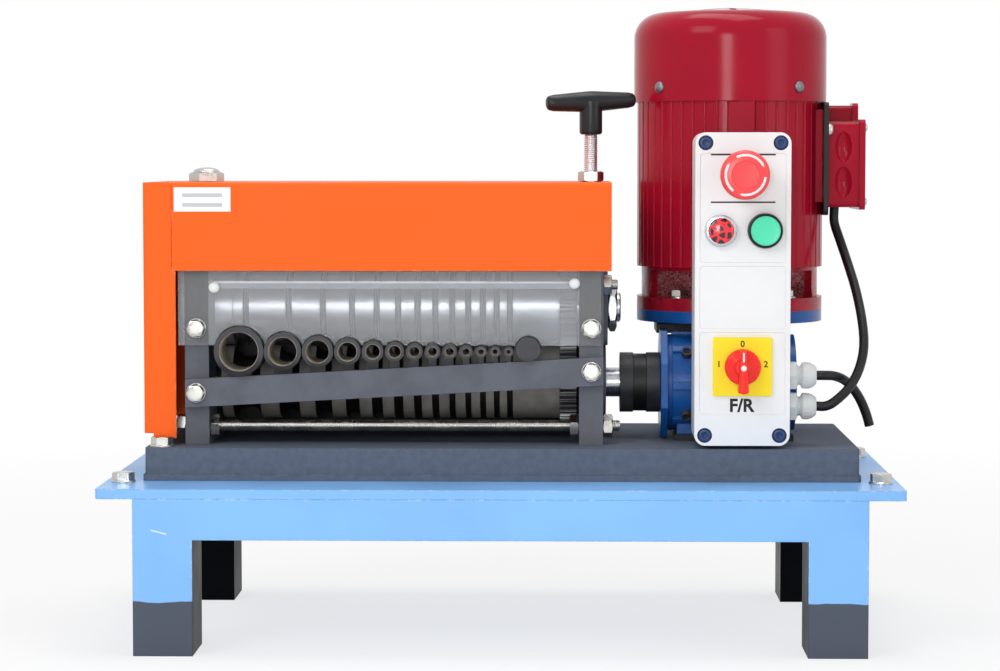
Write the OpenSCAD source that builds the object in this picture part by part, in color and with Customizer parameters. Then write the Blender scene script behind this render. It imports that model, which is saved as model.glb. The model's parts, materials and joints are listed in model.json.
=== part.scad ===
// Motor-driven cable stripping machine on a low steel stand.
// Frame: +X to the operator's right, +Y to the back, +Z up, millimetres.
// Origin: bottom centre of the stand.

/* [Stand] */
// Width of the stand's top plate
stand_w = 650; // [640:5:800]
// Depth of the stand's top plate
stand_d = 350; // [300:5:450]
// Height of the stand
stand_h = 135; // [110:1:250]
// Thickness of the stand's top plate
stand_top_t = 8; // [5:0.5:12]
// Corner radius of the top plate
stand_corner_r = 3; // [1:0.5:10]
// Width of a leg tube
leg_w = 48; // [36:1:60]
// Depth of a leg tube
leg_d = 60; // [40:1:80]
// Wall of a leg tube
leg_wall = 4; // [2:0.5:6]
// How far the legs sit in from the plate's ends
leg_inset = 30; // [26:1:40]
// Height of the apron rails
apron_h = 33; // [20:1:50]
// Thickness of the apron rails
apron_t = 4; // [3:0.5:6]

/* [Base] */
// Width of the machine's base
base_w = 590; // [580:2:620]
// Depth of the machine's base
base_d = 230; // [220:2:280]
// Height of the machine's base
base_h = 27; // [20:1:40]
// Sheet thickness of the base
base_wall = 4; // [2:0.5:6]
// Height of the lip round the base's foot
base_lip_h = 5; // [3:0.5:8]
// How far the lip stands out
base_lip = 1.5; // [0.5:0.5:3]

/* [Stripping head] */
// Middle of the head along X
head_x = -90; // [-95:1:-85]
// Width over the two side plates
plate_span = 348; // [344:1:352]
// Thickness of a side plate
plate_t = 20; // [18:1:22]
// Depth of a side plate
plate_d = 144; // [130:1:150]
// Height of a side plate
plate_h = 204; // [190:1:220]
// Thickness of the cap bar on a side plate
cap_t = 12; // [8:1:16]
// Place of the roller axes along Y
roller_y = -10; // [-14:1:-6]
// Height of the lower roller's axis over the base
lower_axis_h = 47; // [44:0.5:52]
// Distance between the two roller axes
axis_gap = 64; // [63:0.5:66]
// Diameter of both roller shafts
shaft_d = 25; // [20:1:28]
// Diameter of the lower feed roller
lower_roller_d = 62; // [58:0.5:62]
// Width of a groove in the feed roller
groove_w = 5; // [4:0.5:6]
// Depth of a groove in the feed roller
groove_depth = 4; // [3.5:0.5:6]
// Diameter of a cutter disc
blade_d = 66; // [64:0.5:67]
// Thickness of a cutter disc
blade_t = 2.5; // [1.5:0.5:3]
// Diameter of the spacers between the cutter discs
spacer_d = 60; // [54:0.5:60]
// Width of the turned shoulder at a spacer's ends
shoulder_w = 1.4; // [0.5:0.1:1.6]
// Depth of the turned shoulder
shoulder_depth = 4; // [1:0.5:6]
// Number of teeth on each drive gear
gear_teeth = 32; // [28:1:36]
// Width of the drive gears
gear_w = 14; // [10:1:15]
// Play between the gear teeth
gear_play = 0.5; // [0.4:0.1:0.8]

/* [Bearings and blocks] */
// Outer diameter of the lower roller bearings
bearing_d = 52; // [47:1:55]
// Width of the lower roller bearings
bearing_w = 15; // [12:1:16]
// Outer diameter of the bearings in the sliding blocks
block_bearing_d = 42; // [37:1:42]
// Width of the bearings in the sliding blocks
block_bearing_w = 12; // [9:1:14]
// Width of a sliding block
block_w = 50; // [48:1:56]
// How far a sliding block reaches below the shaft's axis
block_drop = 25; // [24:0.5:26]
// Wall of a block between its bearing and the screw's collar
block_web = 2; // [1.5:0.5:4]
// Size of the square flange outside a sliding block
block_flange = 62; // [58:1:66]
// Thickness of that flange
block_flange_t = 4; // [3:0.5:5]
// Diameter of the depth screw
screw_d = 12; // [10:1:14]
// Diameter of the collar at the screw's tip
collar_d = 18; // [17:1:20]
// Height of that collar
collar_h = 7; // [5:0.5:8]
// Thickness of the keeper plate over the collar
keeper_t = 4; // [3:0.5:6]

/* [Guides and guards] */
// Outer diameters of the guide tubes
tube_od = [41, 31, 26, 22, 18, 16, 14, 13, 12, 11, 9.5, 9, 8]; // [8:0.5:41]
// Smallest wall of a guide tube
tube_wall_min = 1.2; // [0.8:0.1:1.4]
// Growth of the wall with the tube's diameter
tube_wall_rate = 0.068; // [0.04:0.004:0.08]
// Gap between the first two tubes
tube_gap = 0.3; // [0.3:0.1:0.8]
// Growth of that gap from tube to tube
tube_gap_growth = 0.21; // [0.15:0.01:0.25]
// Distance of the first tube from the left side plate
first_tube = 26.2; // [25:0.2:28]
// Length of the guide tubes
tube_len = 47; // [38:1:48]
// Diameter of the blind guide at the end of the row
plug_d = 20; // [16:1:22]
// Thickness of the slanted guide bar
bar_t = 8; // [6:0.5:10]
// Height of the slanted guide bar
bar_h = 23.4; // [20:0.2:24]
// Height of the bar's left end over the base
bar_left_h = 43; // [40:0.5:43]
// Height of the bar's right end over the base
bar_right_h = 62; // [60:0.5:63]
// Diameter of the threaded tie rod
rod_d = 10; // [8:1:12]
// Height of the tie rod over the base
rod_h = 15; // [13:0.5:17]
// Distance of the tie rod behind the plates' front
rod_setback = 12; // [10:1:20]
// Thickness of the clear guard window
window_t = 3; // [2:0.5:5]
// Height of the window's lower edge over the base
window_h = 83; // [80:0.5:86]
// Height of the window
window_size = 100; // [90:1:110]
// Sheet thickness of the covers
sheet_t = 2; // [1.5:0.5:2.5]
// Height of the top cover's lips
lip_h = 73; // [60:1:80]
// Bend radius of the covers
bend_r = 4; // [3:0.5:6]
// Gap between the plates' front and the cover's lip
lip_gap = 8; // [8:0.5:10]
// Width of the left end cover
end_cover_w = 24; // [22:0.5:26]

/* [Drive] */
// Diameter of the shaft coupling
coupling_d = 51; // [46:1:60]
// Length of the shaft coupling
coupling_len = 34; // [28:1:40]
// Distance of the coupling from the right side plate
coupling_gap = 15; // [14:0.5:18]
// Radius of the gearbox output cover
output_cover_r = 45; // [44:1:47]
// Thickness of the gearbox output cover
output_cover_t = 10; // [6:1:14]
// Length of the gearbox housing
gearbox_len = 104; // [98:1:112]
// Radius of the gearbox's wheel housing
gearbox_r = 41; // [40:0.5:43]
// Centre distance of the worm gear
gearbox_centres = 50; // [48:0.5:54]
// Thickness of the gearbox's foot plate
foot_t = 5; // [3:0.5:5.5]
// Diameter of the motor flange
flange_d = 160; // [156:1:166]
// Bolt circle of the motor flange
flange_pcd = 130; // [126:1:134]
// Height of the gearbox flange's lower face over the wheel axis
flange_h = 51; // [50:0.5:60]
// Thickness of the gearbox flange
gear_flange_t = 10; // [8:0.5:14]
// Thickness of the motor flange
motor_flange_t = 11; // [8:0.5:14]
// Height of the end bell over the flange
bell_h = 26; // [22:1:34]
// Diameter of the end bell
bell_d = 152; // [146:1:154]
// Diameter of the motor body
motor_d = 160; // [156:1:166]
// Height of the motor body
motor_h = 145; // [135:1:160]
// Bore of the motor body
motor_bore = 130; // [124:1:134]
// Number of flutes round the motor body
flute_count = 48; // [24:1:60]
// Radius of a flute
flute_r = 1.6; // [1:0.2:2]
// Diameter of the fan cover
fan_cover_d = 166; // [162:1:172]
// Height of the fan cover
fan_cover_h = 78; // [70:1:90]
// Wall of the fan cover
fan_wall = 2; // [1.5:0.5:2.5]
// Diameter of the motor shaft
motor_shaft_d = 24; // [20:1:25]
// Outer diameter of the rotor core
rotor_d = 81; // [70:1:86]
// Length of the stator core
stator_len = 90; // [80:1:100]
// Height of the terminal box
terminal_h = 91; // [80:1:100]
// Width of the terminal box
terminal_w = 86; // [70:1:95]
// Depth of the terminal box's tub
terminal_tub = 27; // [22:1:32]
// Depth of the terminal box's lid
terminal_lid_t = 5; // [4:1:8]
// Thickness of the terminal box's gasket
gasket_t = 4; // [2:0.5:5]
// Drop of the terminal box's front part under its rear part
terminal_step = 15; // [8:1:20]
// Depth of the terminal box's raised rear part
terminal_rear = 24; // [18:1:32]

/* [Control box] */
// Width of the control box
box_w = 78; // [76:1:84]
// Height of the control box
box_h = 256; // [250:1:264]
// Depth of the control box's lid
lid_d = 12; // [10:1:16]
// Depth of the control box's back part
tub_d = 40; // [36:1:40]
// Wall of the control box
box_wall = 3; // [2:0.5:4]
// Corner radius of the control box
box_r = 9; // [6:0.5:11]
// Gap between the base and the control box
box_lift = 3; // [2:0.5:6]
// Depth of the label panels pressed into the lid
panel_depth = 0.6; // [0.4:0.1:1]
// Diameter of the holes for the controls
control_hole = 22.4; // [21:0.1:24]
// Diameter of the emergency stop head
estop_d = 40; // [36:1:44]
// Diameter of the start button's cap
start_d = 24; // [22:0.5:25]
// Travel of the start button
start_travel = 3; // [1:0.5:4]
// Diameter of the pilot lamp's bezel
lamp_d = 26; // [24:0.5:29]
// Side of the switch's front plate
switch_plate_w = 48; // [44:1:52]
// Diameter of the switch knob
knob_d = 29.4; // [26:0.2:32]
// Thickness of the control box's bracket
bracket_t = 3; // [2:0.5:3.5]

/* [Hidden] */
$fn = 64;
// Overrun of a cut past a face
cut = 1;
// Radial clearance of a fitted hole
fit = 0.05;
// Gap between pieces that pass each other
pass = 0.3;

// Heights
base_top = stand_h + base_h;
lower_z = base_top + lower_axis_h;
upper_z = lower_z + axis_gap;
plate_top = base_top + plate_h;
cap_top = plate_top + cap_t;
cover_top = cap_top + sheet_t;
rod_z = base_top + rod_h;

// Places along X
left_out = head_x - plate_span / 2;
left_in = left_out + plate_t;
right_out = head_x + plate_span / 2;
right_in = right_out - plate_t;
left_mid = (left_out + left_in) / 2;
right_mid = (right_out + right_in) / 2;
gear_gap = 2;
gear_x = right_in - gear_gap - gear_w;
collar_len = 15;
roller_x = left_in + collar_len;

// Places along Y
base_front = -base_d / 2;
plate_front = roller_y - plate_d / 2;
plate_back = roller_y + plate_d / 2;
bar_front = plate_front - bar_t;
lip_front = plate_front - lip_gap - sheet_t;
cover_back = plate_back + lip_gap + sheet_t;
tube_front = bar_front - 5;
cover_bolt_y = roller_y + 35;

// Covers
hood_x = left_out - 9;
hood_len = plate_span + 15.6;
hood_tab = 20;
end_cover_x = hood_x - pass;

// Guide tubes and the cutter discs in line with them
tube_count = len(tube_od);
tube_z = lower_z + lower_roller_d / 2 + pass;
function tube_wall(i) = tube_wall_min + tube_wall_rate * tube_od[i];
function tube_x(i) =
    i == 0 ? left_in + first_tube
    : tube_x(i - 1) + (tube_od[i - 1] + tube_od[i]) / 2 + tube_gap + tube_gap_growth * (i - 1);
plug_x = tube_x(tube_count - 1) + (tube_od[tube_count - 1] + plug_d) / 2 + 2;

// The slanted bar's middle line and top edge
bar_slope = (bar_right_h - bar_left_h) / plate_span;
function bar_mid_z(x) = base_top + bar_left_h + bar_slope * (x - left_out);
function bar_top_z(x) = bar_mid_z(x) + bar_h / 2;

// Sliding blocks
block_foot = upper_z - block_drop;
slot_floor = block_foot - pass;
collar_z = upper_z + block_bearing_d / 2 + block_web + pass;
block_top = collar_z + collar_h + pass;

// T-handle on the depth screw
handle_hub_z = cover_top + 40;
handle_hub_h = 28;
handle_bar_z = handle_hub_z + handle_hub_h;
handle_bar_len = 78;
handle_hub_d = 19.4;
handle_hub_round = 2.5;
handle_grip_d = [18, 12.6];
handle_tip_round = 4;
handle_tilt = 2.4;
handle_turn = 14;

// Gear teeth
pitch_r = axis_gap / 2;
gear_module = axis_gap / gear_teeth;
pressure = 20;
gear_base_r = pitch_r * cos(pressure);
gear_tip_r = pitch_r + 0.9 * gear_module;
gear_root_r = pitch_r - 1.25 * gear_module;
flank_steps = 3;
function involute(a) = tan(a) * 180 / PI - a;
function flank_r(s) = gear_base_r + (gear_tip_r - gear_base_r) * s / flank_steps;
function flank_a(r) =
    90 / gear_teeth - gear_play / (2 * pitch_r) * 180 / PI + involute(pressure) - involute(acos(gear_base_r / r));
function polar(r, a) = [r * cos(a), r * sin(a)];

// Drive train
coupling_x = right_out + coupling_gap;
coupling_ring = (coupling_len - pass) / 3;
gearbox_x = coupling_x + coupling_len;
housing_x = gearbox_x + output_cover_t;
motor_x = housing_x + gearbox_len / 2;
motor_y = roller_y + gearbox_centres;
foot_top = base_top + foot_t;
foot_inset = 2;
foot_reach = 6;
gearbox_toe = 28;
worm_w = 72;
worm_d = 68;
flange_z = lower_z + flange_h;
motor_flange_z = flange_z + gear_flange_t;
bell_z = motor_flange_z + motor_flange_t;
body_z = bell_z + bell_h;
fan_cover_z = body_z + motor_h;
fan_cover_top = fan_cover_z + fan_cover_h;
motor_bearing_w = 15;
shield_t = 12;
fan_shoulder = 22;
fan_crown = 5;
fan_seat = 4;
stator_z = body_z + (motor_h - stator_len) / 2 - 4;
rotor_gap = 0.5;
fan_d = 128;
fan_h = 30;
fan_web = 4;
fan_z = fan_cover_z + 8;
fan_stub = 12;
shaft_clear = 30;
strip_w = 12;
strip_rise = 1.5;
terminal_z = fan_cover_z - fan_seat - 0.5 - terminal_h / 2;
pad_flat = 3;
pad_inset = 6;
pad_x = motor_x + motor_d / 2 - pad_flat;
tub_x = pad_x + gasket_t;
tub_inset = 1.5;
terminal_r = 5;
lid_lap = 0.5;
gasket_edge = 9;
gasket_drop = 5;
hollow_r = 7.85;
hollow_len = 29;
hollow_out = 3;
hollow_pitch = 30;

// Control box
box_x = motor_x + 2;
box_z = base_top + box_lift;
box_mid_z = box_z + box_h / 2;
lid_front = base_front;
lid_back = lid_front + lid_d;
tub_back = lid_back + tub_d;
box_screw_inset = 8.5;
estop_drop = 34.5;
estop_back = 16;
estop_front = 31;
estop_recess_d = 22.8;
lamp_drop = 80;
estop_z = box_z + box_h - estop_drop;
lamp_z = box_z + box_h - lamp_drop;
lamp_dx = 18;
panel_gap = 3;
panel_foot = 26;
panel_split = 93;
panel_top = box_h - 17;
panel_mid = box_h - 106;
lid_panels = [
    [panel_foot, panel_split], [panel_split + panel_gap, panel_mid - panel_gap], [panel_mid, panel_top]
];
switch_z = box_z + 65;
gland_z = [box_z + 30, box_z + 55.5];
gland_y = (lid_back + tub_back) / 2;
gland_af = 22;
gland_hex = 8;
gland_waist = 4;
gland_waist_d = 15;
gland_nut = 12;
gland_mouth_d = 15;
stem_d = 14;
knob_disc_t = 8;
knob_boss_d = 13.8;
knob_boss_rise = 4;
grip_rise = 10;
grip_w = [6, 9.6];
grip_reach = [14.4, 21.2];
ring_len = 5;
start_ring_len = 6;
start_stem_d = 18;
lens_d = 19;
knob_shaft_d = 8;
contact_w = 30;
contact_h = 36;
contact_depth = 30;
contact_bore = 14;

// Fasteners
m10_hole = 10.4;
m8_hole = 8.4;
stand_bolt_x = stand_w / 2 - leg_inset / 2;
stand_bolt_y = [base_front - 7, -base_front - 30];
base_bolt_x = -base_w / 2 + 14;
base_bolt_edge = 15;
base_bolt_reach = min(base_d / 2, stand_d / 2 - leg_d) - base_bolt_edge;
base_bolt_y = [-base_bolt_reach, base_bolt_reach];
guard_bolt_z = base_top + 97;

// Cords, from where they leave their housing to their far end
cord_d = 8;
cord_sides = 10;
motor_cable_route = [
    [284, 20, 358], [284, 20, 345], [288, 14, 331], [294, 0, 310], [299, -20, 288],
    [302, -42, 264], [302, -58, 243], [297, -70, 225], [288, -78, 210], [276, -82.5, 199],
    [268, -83, 195], [260, -83, 195]
];
supply_route = [
    [260, -83, 220.5], [268, -83, 220.5], [276, -77, 219.5], [285, -67, 215.5], [293, -59, 208],
    [300, -54, 197.5], [305, -52, 186], [308, -51, 176]
];

// Finishes
stand_blue = "#7fb8f5";
base_grey = "#4c5160";
plate_grey = "#43464d";
cover_orange = "#ff6a2a";
steel = "#b8bcc2";
tool_steel = "#6f747a";
zinc = "#c9c7b8";
motor_red = "#8f1830";
gearbox_blue = "#174f92";
black = "#1d1f22";
box_white = "#f1f1ef";

// Shapes that repeat

// Rectangle with round corners, centred
module rounded_rect(w, d, r) {
    square([w - 2 * r, d], center = true);
    square([w, d - 2 * r], center = true);
    for (sx = [-1, 1], sy = [-1, 1])
        translate([sx * (w / 2 - r), sy * (d / 2 - r)]) circle(r = r);
}

// Cylinder along +X from x0
module rod_x(x0, len, d) translate([x0, 0, 0]) rotate([0, 90, 0]) cylinder(d = d, h = len);

// Cylinder along +Y from y0
module rod_y(y0, len, d) translate([0, y0, 0]) rotate([-90, 0, 0]) cylinder(d = d, h = len);

// Ring along +X
module ring_x(x0, len, od, id) difference() {
    rod_x(x0, len, od);
    rod_x(x0 - cut, len + 2 * cut, id);
}

// Solid of revolution about the X axis from [x, r] points
module turned_x(points)
    rotate([0, 90, 0]) rotate([0, 0, 180])
        rotate_extrude() polygon([for (p = points) [p[1], p[0]]]);

// Sheet with its outline in the YZ plane, from x0
module slab_x(x0, len) translate([x0, 0, 0]) rotate([90, 0, 90]) linear_extrude(len) children();

// Sheet with its outline in the XZ plane, from y0 towards +Y
module slab_y(y0, len) translate([0, y0 + len, 0]) rotate([90, 0, 0]) linear_extrude(len) children();

// Hexagonal prism on z = 0
module hexagon(af, h) cylinder(d = af / cos(30), h = h, $fn = 6);

// Hexagon bolt with its washer, seat at z = 0 and shank downwards
module hex_bolt(d, af, head_h, washer_d, washer_t, len) {
    cylinder(d = washer_d, h = washer_t);
    translate([0, 0, washer_t]) hexagon(af, head_h);
    translate([0, 0, -len]) cylinder(d = d, h = len);
}

module m10_bolt(len) hex_bolt(10, 16, 6.4, 20, 2, len);

module m8_bolt(len) hex_bolt(8, 13, 5.3, 16.6, 1.6, len);

// Nut on z = 0
module hex_nut(d, af, h) difference() {
    hexagon(af, h);
    translate([0, 0, -cut]) cylinder(d = d + 2 * fit, h = h + 2 * cut);
}

// Outline of one gear, turned by the given angle
module gear_outline(turn) polygon([
    for (k = [0 : gear_teeth - 1]) let (mid = turn + k * 360 / gear_teeth) each [
        polar(gear_root_r, mid - flank_a(gear_base_r) - 0.6),
        for (s = [0 : flank_steps]) polar(flank_r(s), mid - flank_a(flank_r(s))),
        for (s = [flank_steps : -1 : 0]) polar(flank_r(s), mid + flank_a(flank_r(s))),
        polar(gear_root_r, mid + flank_a(gear_base_r) + 0.6)
    ]
]);

// Drive gear on a shaft along X
module drive_gear(turn) difference() {
    slab_x(gear_x, gear_w) gear_outline(turn);
    rod_x(gear_x - cut, gear_w + 2 * cut, shaft_d + 2 * fit);
}

// Unit vector and the cross-section frame along a cord
function unit(v) = v / norm(v);
function heading(route, i) =
    let (last = len(route) - 1)
    unit(route[min(i + 1, last)] - route[max(i - 1, 0)]);
function cord_ring(route, i) =
    let (t = heading(route, i), n = unit(cross(t, [0, 1, 0])), b = cross(t, n))
    [for (k = [0 : cord_sides - 1])
        route[i] + cord_d / 2 * (cos(360 * k / cord_sides) * n + sin(360 * k / cord_sides) * b)];

// Round cord along its route
module cord(route) {
    last = len(route) - 1;
    polyhedron(
        points = [for (i = [0 : last]) each cord_ring(route, i)],
        faces = [
            [for (k = [0 : cord_sides - 1]) k],
            for (i = [0 : last - 1], k = [0 : cord_sides - 1])
                let (n = (k + 1) % cord_sides, a = i * cord_sides, b = a + cord_sides)
                each [[a + k, b + k, b + n], [a + k, b + n, a + n]],
            [for (k = [cord_sides - 1 : -1 : 0]) last * cord_sides + k]
        ],
        convexity = 8
    );
}

// Stand

module stand_top() color(stand_blue) difference() {
    translate([0, 0, stand_h - stand_top_t])
        linear_extrude(stand_top_t) rounded_rect(stand_w, stand_d, stand_corner_r);
    for (x = [-stand_bolt_x, stand_bolt_x], y = stand_bolt_y)
        translate([x, y, 0]) cylinder(d = m10_hole, h = stand_h + cut);
    for (y = base_bolt_y)
        translate([base_bolt_x, y, 0]) cylinder(d = m10_hole, h = stand_h + cut);
}

// Four closed-foot tubes with the apron rails welded between them
module stand_frame() color(stand_blue) {
    frame_top = stand_h - stand_top_t;
    frame_w = stand_w - 2 * leg_inset;
    for (sx = [-1, 1], sy = [-1, 1])
        translate([sx * (frame_w - leg_w) / 2, sy * (stand_d - leg_d) / 2, 0]) difference() {
            linear_extrude(frame_top) square([leg_w, leg_d], center = true);
            translate([0, 0, leg_wall])
                linear_extrude(frame_top) square([leg_w - 2 * leg_wall, leg_d - 2 * leg_wall], center = true);
        }
    for (sy = [-1, 1])
        translate([-frame_w / 2 + leg_w, sy * (stand_d - apron_t) / 2 - apron_t / 2, frame_top - apron_h])
            cube([frame_w - 2 * leg_w, apron_t, apron_h]);
    for (sx = [-1, 1])
        translate([sx * (frame_w - apron_t) / 2 - apron_t / 2, -stand_d / 2 + leg_d, frame_top - apron_h])
            cube([apron_t, stand_d - 2 * leg_d, apron_h]);
}

// Folded sheet box, open below, with a lip round its foot
module machine_base() color(base_grey) difference() {
    union() {
        translate([0, 0, stand_h]) linear_extrude(base_h) rounded_rect(base_w - 2 * base_lip, base_d - 2 * base_lip, 4);
        translate([0, 0, stand_h]) linear_extrude(base_lip_h) rounded_rect(base_w, base_d, 4);
    }
    translate([0, 0, stand_h - cut])
        linear_extrude(base_h - base_wall + cut)
            rounded_rect(base_w - 2 * base_lip - 2 * base_wall, base_d - 2 * base_lip - 2 * base_wall, 2);
    for (y = base_bolt_y)
        translate([base_bolt_x, y, stand_h]) cylinder(d = m10_hole, h = base_h + cut);
}

// Stand bolts with nuts below the plate, and the base's two hold-down bolts
module hex_bolts_m10() color(zinc) {
    grip = 12;
    nut_h = 8;
    for (x = [-stand_bolt_x, stand_bolt_x], y = stand_bolt_y) translate([x, y, stand_h]) {
        m10_bolt(stand_top_t + grip);
        translate([0, 0, -stand_top_t - nut_h]) hex_nut(10, 16, nut_h);
    }
    for (y = base_bolt_y) translate([base_bolt_x, y, base_top]) {
        m10_bolt(base_h + stand_top_t + grip);
        translate([0, 0, -base_h - stand_top_t - nut_h]) hex_nut(10, 16, nut_h);
    }
}

// Side plates and what they carry

// Side plate with its bearing bore, block slot, rod hole and front tappings
module side_plate(x0) difference() {
    slab_x(x0, plate_t) difference() {
        translate([plate_front, base_top]) square([plate_d, plate_h]);
        translate([roller_y, lower_z]) circle(d = bearing_d + 2 * fit);
        translate([roller_y - block_w / 2 - pass, slot_floor])
            square([block_w + 2 * pass, plate_h]);
        translate([plate_front + rod_setback, rod_z]) circle(d = rod_d + 2 * pass);
    }
    mid = x0 + plate_t / 2;
    for (z = [bar_mid_z(mid), guard_bolt_z])
        translate([mid, 0, z]) rod_y(plate_front - cut, 24 + cut, 8 + 2 * fit);
}

module left_side_plate() color(plate_grey) side_plate(left_out);

module right_side_plate() color(plate_grey) side_plate(right_in);

// Cap bars that close the slots and take the adjusting screws
module side_plate_caps() color(plate_grey) for (mid = [left_mid, right_mid]) difference() {
    translate([mid - plate_t / 2, plate_front, plate_top]) cube([plate_t, plate_d, cap_t]);
    translate([mid, roller_y, plate_top - cut]) cylinder(d = screw_d + 2 * pass, h = cap_t + 2 * cut);
    translate([left_mid, cover_bolt_y, plate_top - cut]) cylinder(d = 8 + 2 * fit, h = cap_t + 2 * cut);
}

// Ball bearings of the lower roller shaft and of the motor shaft
module shaft_bearings() color(steel) {
    translate([0, roller_y, lower_z])
        for (mid = [left_mid, right_mid])
            ring_x(mid - bearing_w / 2, bearing_w, bearing_d, shaft_d + 2 * fit);
    for (z = [body_z - motor_bearing_w, fan_cover_z - shield_t])
        translate([motor_x, motor_y, z]) difference() {
            cylinder(d = bearing_d, h = z > body_z ? shield_t : motor_bearing_w);
            translate([0, 0, -cut]) cylinder(d = motor_shaft_d + 2 * fit, h = motor_bearing_w + 2 * cut);
        }
}

// Round caps over the lower bearings, outside the plates
module bearing_caps() color(plate_grey) translate([0, roller_y, lower_z]) {
    cap_d = bearing_d + 12;
    cap_w = 3;
    ring_x(left_out - cap_w, cap_w, cap_d, shaft_d + 1);
    ring_x(right_out, cap_w, cap_d, shaft_d + 1);
}

// Guides

module guide_bar() color(plate_grey) difference() {
    x0 = left_out + 1;
    slab_y(bar_front, bar_t) polygon([
        [x0, bar_mid_z(x0) - bar_h / 2], [right_out, bar_mid_z(right_out) - bar_h / 2],
        [right_out, bar_top_z(right_out)], [x0, bar_top_z(x0)]
    ]);
    for (x = [left_mid, right_mid])
        translate([x, 0, bar_mid_z(x)]) rod_y(bar_front - cut, bar_t + 2 * cut, m8_hole);
}

// Weld foot between a guide and the sloping top edge of the bar
module weld_foot(x, w) slab_y(bar_front + 1, bar_t - 2) polygon([
    [x - w, bar_top_z(x - w) + fit], [x + w, bar_top_z(x + w) + fit], [x + w, tube_z], [x - w, tube_z]
]);

// Row of guide tubes from thick to thin cable, and a blind one at its end
module guide_tubes() color(black) {
    for (i = [0 : tube_count - 1]) difference() {
        union() {
            translate([tube_x(i), 0, tube_z]) rod_y(tube_front, tube_len, tube_od[i]);
            weld_foot(tube_x(i), tube_od[i] * 0.24);
        }
        translate([tube_x(i), 0, tube_z])
            rod_y(tube_front - cut, tube_len + 2 * cut, tube_od[i] - 2 * tube_wall(i));
    }
    translate([plug_x, 0, tube_z + 2]) rod_y(tube_front, tube_len - 4, plug_d);
    weld_foot(plug_x, plug_d * 0.24);
}

module tie_rod() color(zinc) translate([0, plate_front + rod_setback, rod_z])
    rod_x(left_out - 14, plate_span + 28, rod_d);

// Nuts on both sides of each plate, and the lock nut of the depth screw
module hex_nuts() color(zinc) {
    nut_h = 8;
    for (x = [left_out - nut_h, left_in, right_in - nut_h, right_out])
        translate([x, plate_front + rod_setback, rod_z]) rotate([0, 90, 0]) hex_nut(rod_d, 17, nut_h);
    translate([right_mid, roller_y, cover_top]) difference() {
        hexagon(19, 9);
        translate([0, 0, -cut]) cylinder(d = screw_d + 2 * pass, h = 9 + 2 * cut);
    }
}

// Guards and covers

// Clear sheet in front of the cutters, notched round the guide tubes
module guard_window() color([0.85, 0.9, 0.92, 0.45]) difference() {
    slab_y(plate_front - window_t, window_t) difference() {
        translate([left_out - 5, base_top + window_h]) square([plate_span + 3, window_size]);
        for (i = [0 : tube_count - 1]) translate([tube_x(i), tube_z]) circle(d = tube_od[i] + 2);
        translate([plug_x, tube_z + 2]) circle(d = plug_d + 2);
    }
    for (x = [left_mid, right_mid])
        translate([x, 0, guard_bolt_z]) rod_y(plate_front - window_t - cut, window_t + 2 * cut, m8_hole);
}

// Flat bar that stiffens the window between the plates
module guard_cross_bar() color(steel)
    translate([left_in + pass, plate_front + fit, upper_z + 19])
        cube([right_in - left_in - 2 * pass, 5, 6]);

// Bolts of the guide bar, window, cover and motor flange
module hex_bolts_m8() color(zinc) {
    for (x = [left_mid, right_mid]) {
        translate([x, bar_front, bar_mid_z(x)]) rotate([90, 0, 0]) m8_bolt(bar_t + 22);
        translate([x, plate_front - window_t, guard_bolt_z]) rotate([90, 0, 0]) m8_bolt(window_t + 22);
    }
    translate([left_mid, cover_bolt_y, cover_top]) m8_bolt(sheet_t + cap_t - 1);
    for (a = [45 : 90 : 315])
        translate([motor_x, motor_y, bell_z]) rotate([0, 0, a]) translate([flange_pcd / 2, 0, 0])
            m8_bolt(motor_flange_t + gear_flange_t);
}

// Bent sheet hood over the head, with lips at the front and back
module hood_slab(len, wall) {
    depth = cover_back - lip_front;
    slab_x(hood_x, len) difference() {
        translate([(cover_back + lip_front) / 2, cover_top - lip_h])
            rounded_rect(depth - 2 * wall, 2 * lip_h - 2 * wall, bend_r - wall);
        translate([lip_front - cut, cover_top - 3 * lip_h]) square([depth + 2 * cut, 2 * lip_h]);
    }
}

module top_cover() color(cover_orange) difference() {
    hood_slab(hood_len, 0);
    translate([-cut, 0, 0]) difference() {
        hood_slab(hood_len + 2 * cut, sheet_t);
        translate([hood_x + hood_len - sheet_t + cut, lip_front, cover_top - hood_tab])
            cube([sheet_t + 2 * cut, cover_back - lip_front, hood_tab]);
    }
    for (x = [left_mid, right_mid])
        translate([x, roller_y, cap_top - cut]) cylinder(d = screw_d + 4, h = sheet_t + 2 * cut);
    translate([left_mid, cover_bolt_y, cap_top - cut]) cylinder(d = m8_hole, h = sheet_t + 2 * cut);
}

// Outline of the left end cover, open towards the plate
module end_cover_outline(wall) difference() {
    translate([end_cover_x, (lip_front + cover_back) / 2])
        rounded_rect(2 * end_cover_w - 2 * wall, cover_back - lip_front - 2 - 2 * wall, bend_r - wall);
    translate([end_cover_x + (wall > 0 ? cut : 0), lip_front]) square([2 * end_cover_w, cover_back - lip_front]);
}

// Bent sheet box over the left plate's outside, notched at its left foot
module left_end_cover() color(cover_orange) {
    z0 = base_top + 6;
    notch = 8;
    difference() {
        translate([0, 0, z0]) linear_extrude(cover_top - z0) end_cover_outline(0);
        translate([0, 0, z0 - cut]) linear_extrude(cover_top - z0 - sheet_t + cut) end_cover_outline(sheet_t);
        translate([end_cover_x - end_cover_w - cut, lip_front, z0 - cut])
            cube([notch + cut, cover_back - lip_front, notch / 2 + cut]);
    }
    translate([end_cover_x - cut, lip_front + 1, z0]) cube([4, sheet_t, cover_top - lip_h - z0 - pass]);
}

// Drive

module worm_housing_outline() translate([motor_x, motor_y]) rounded_rect(worm_w, worm_d, 10);

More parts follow.
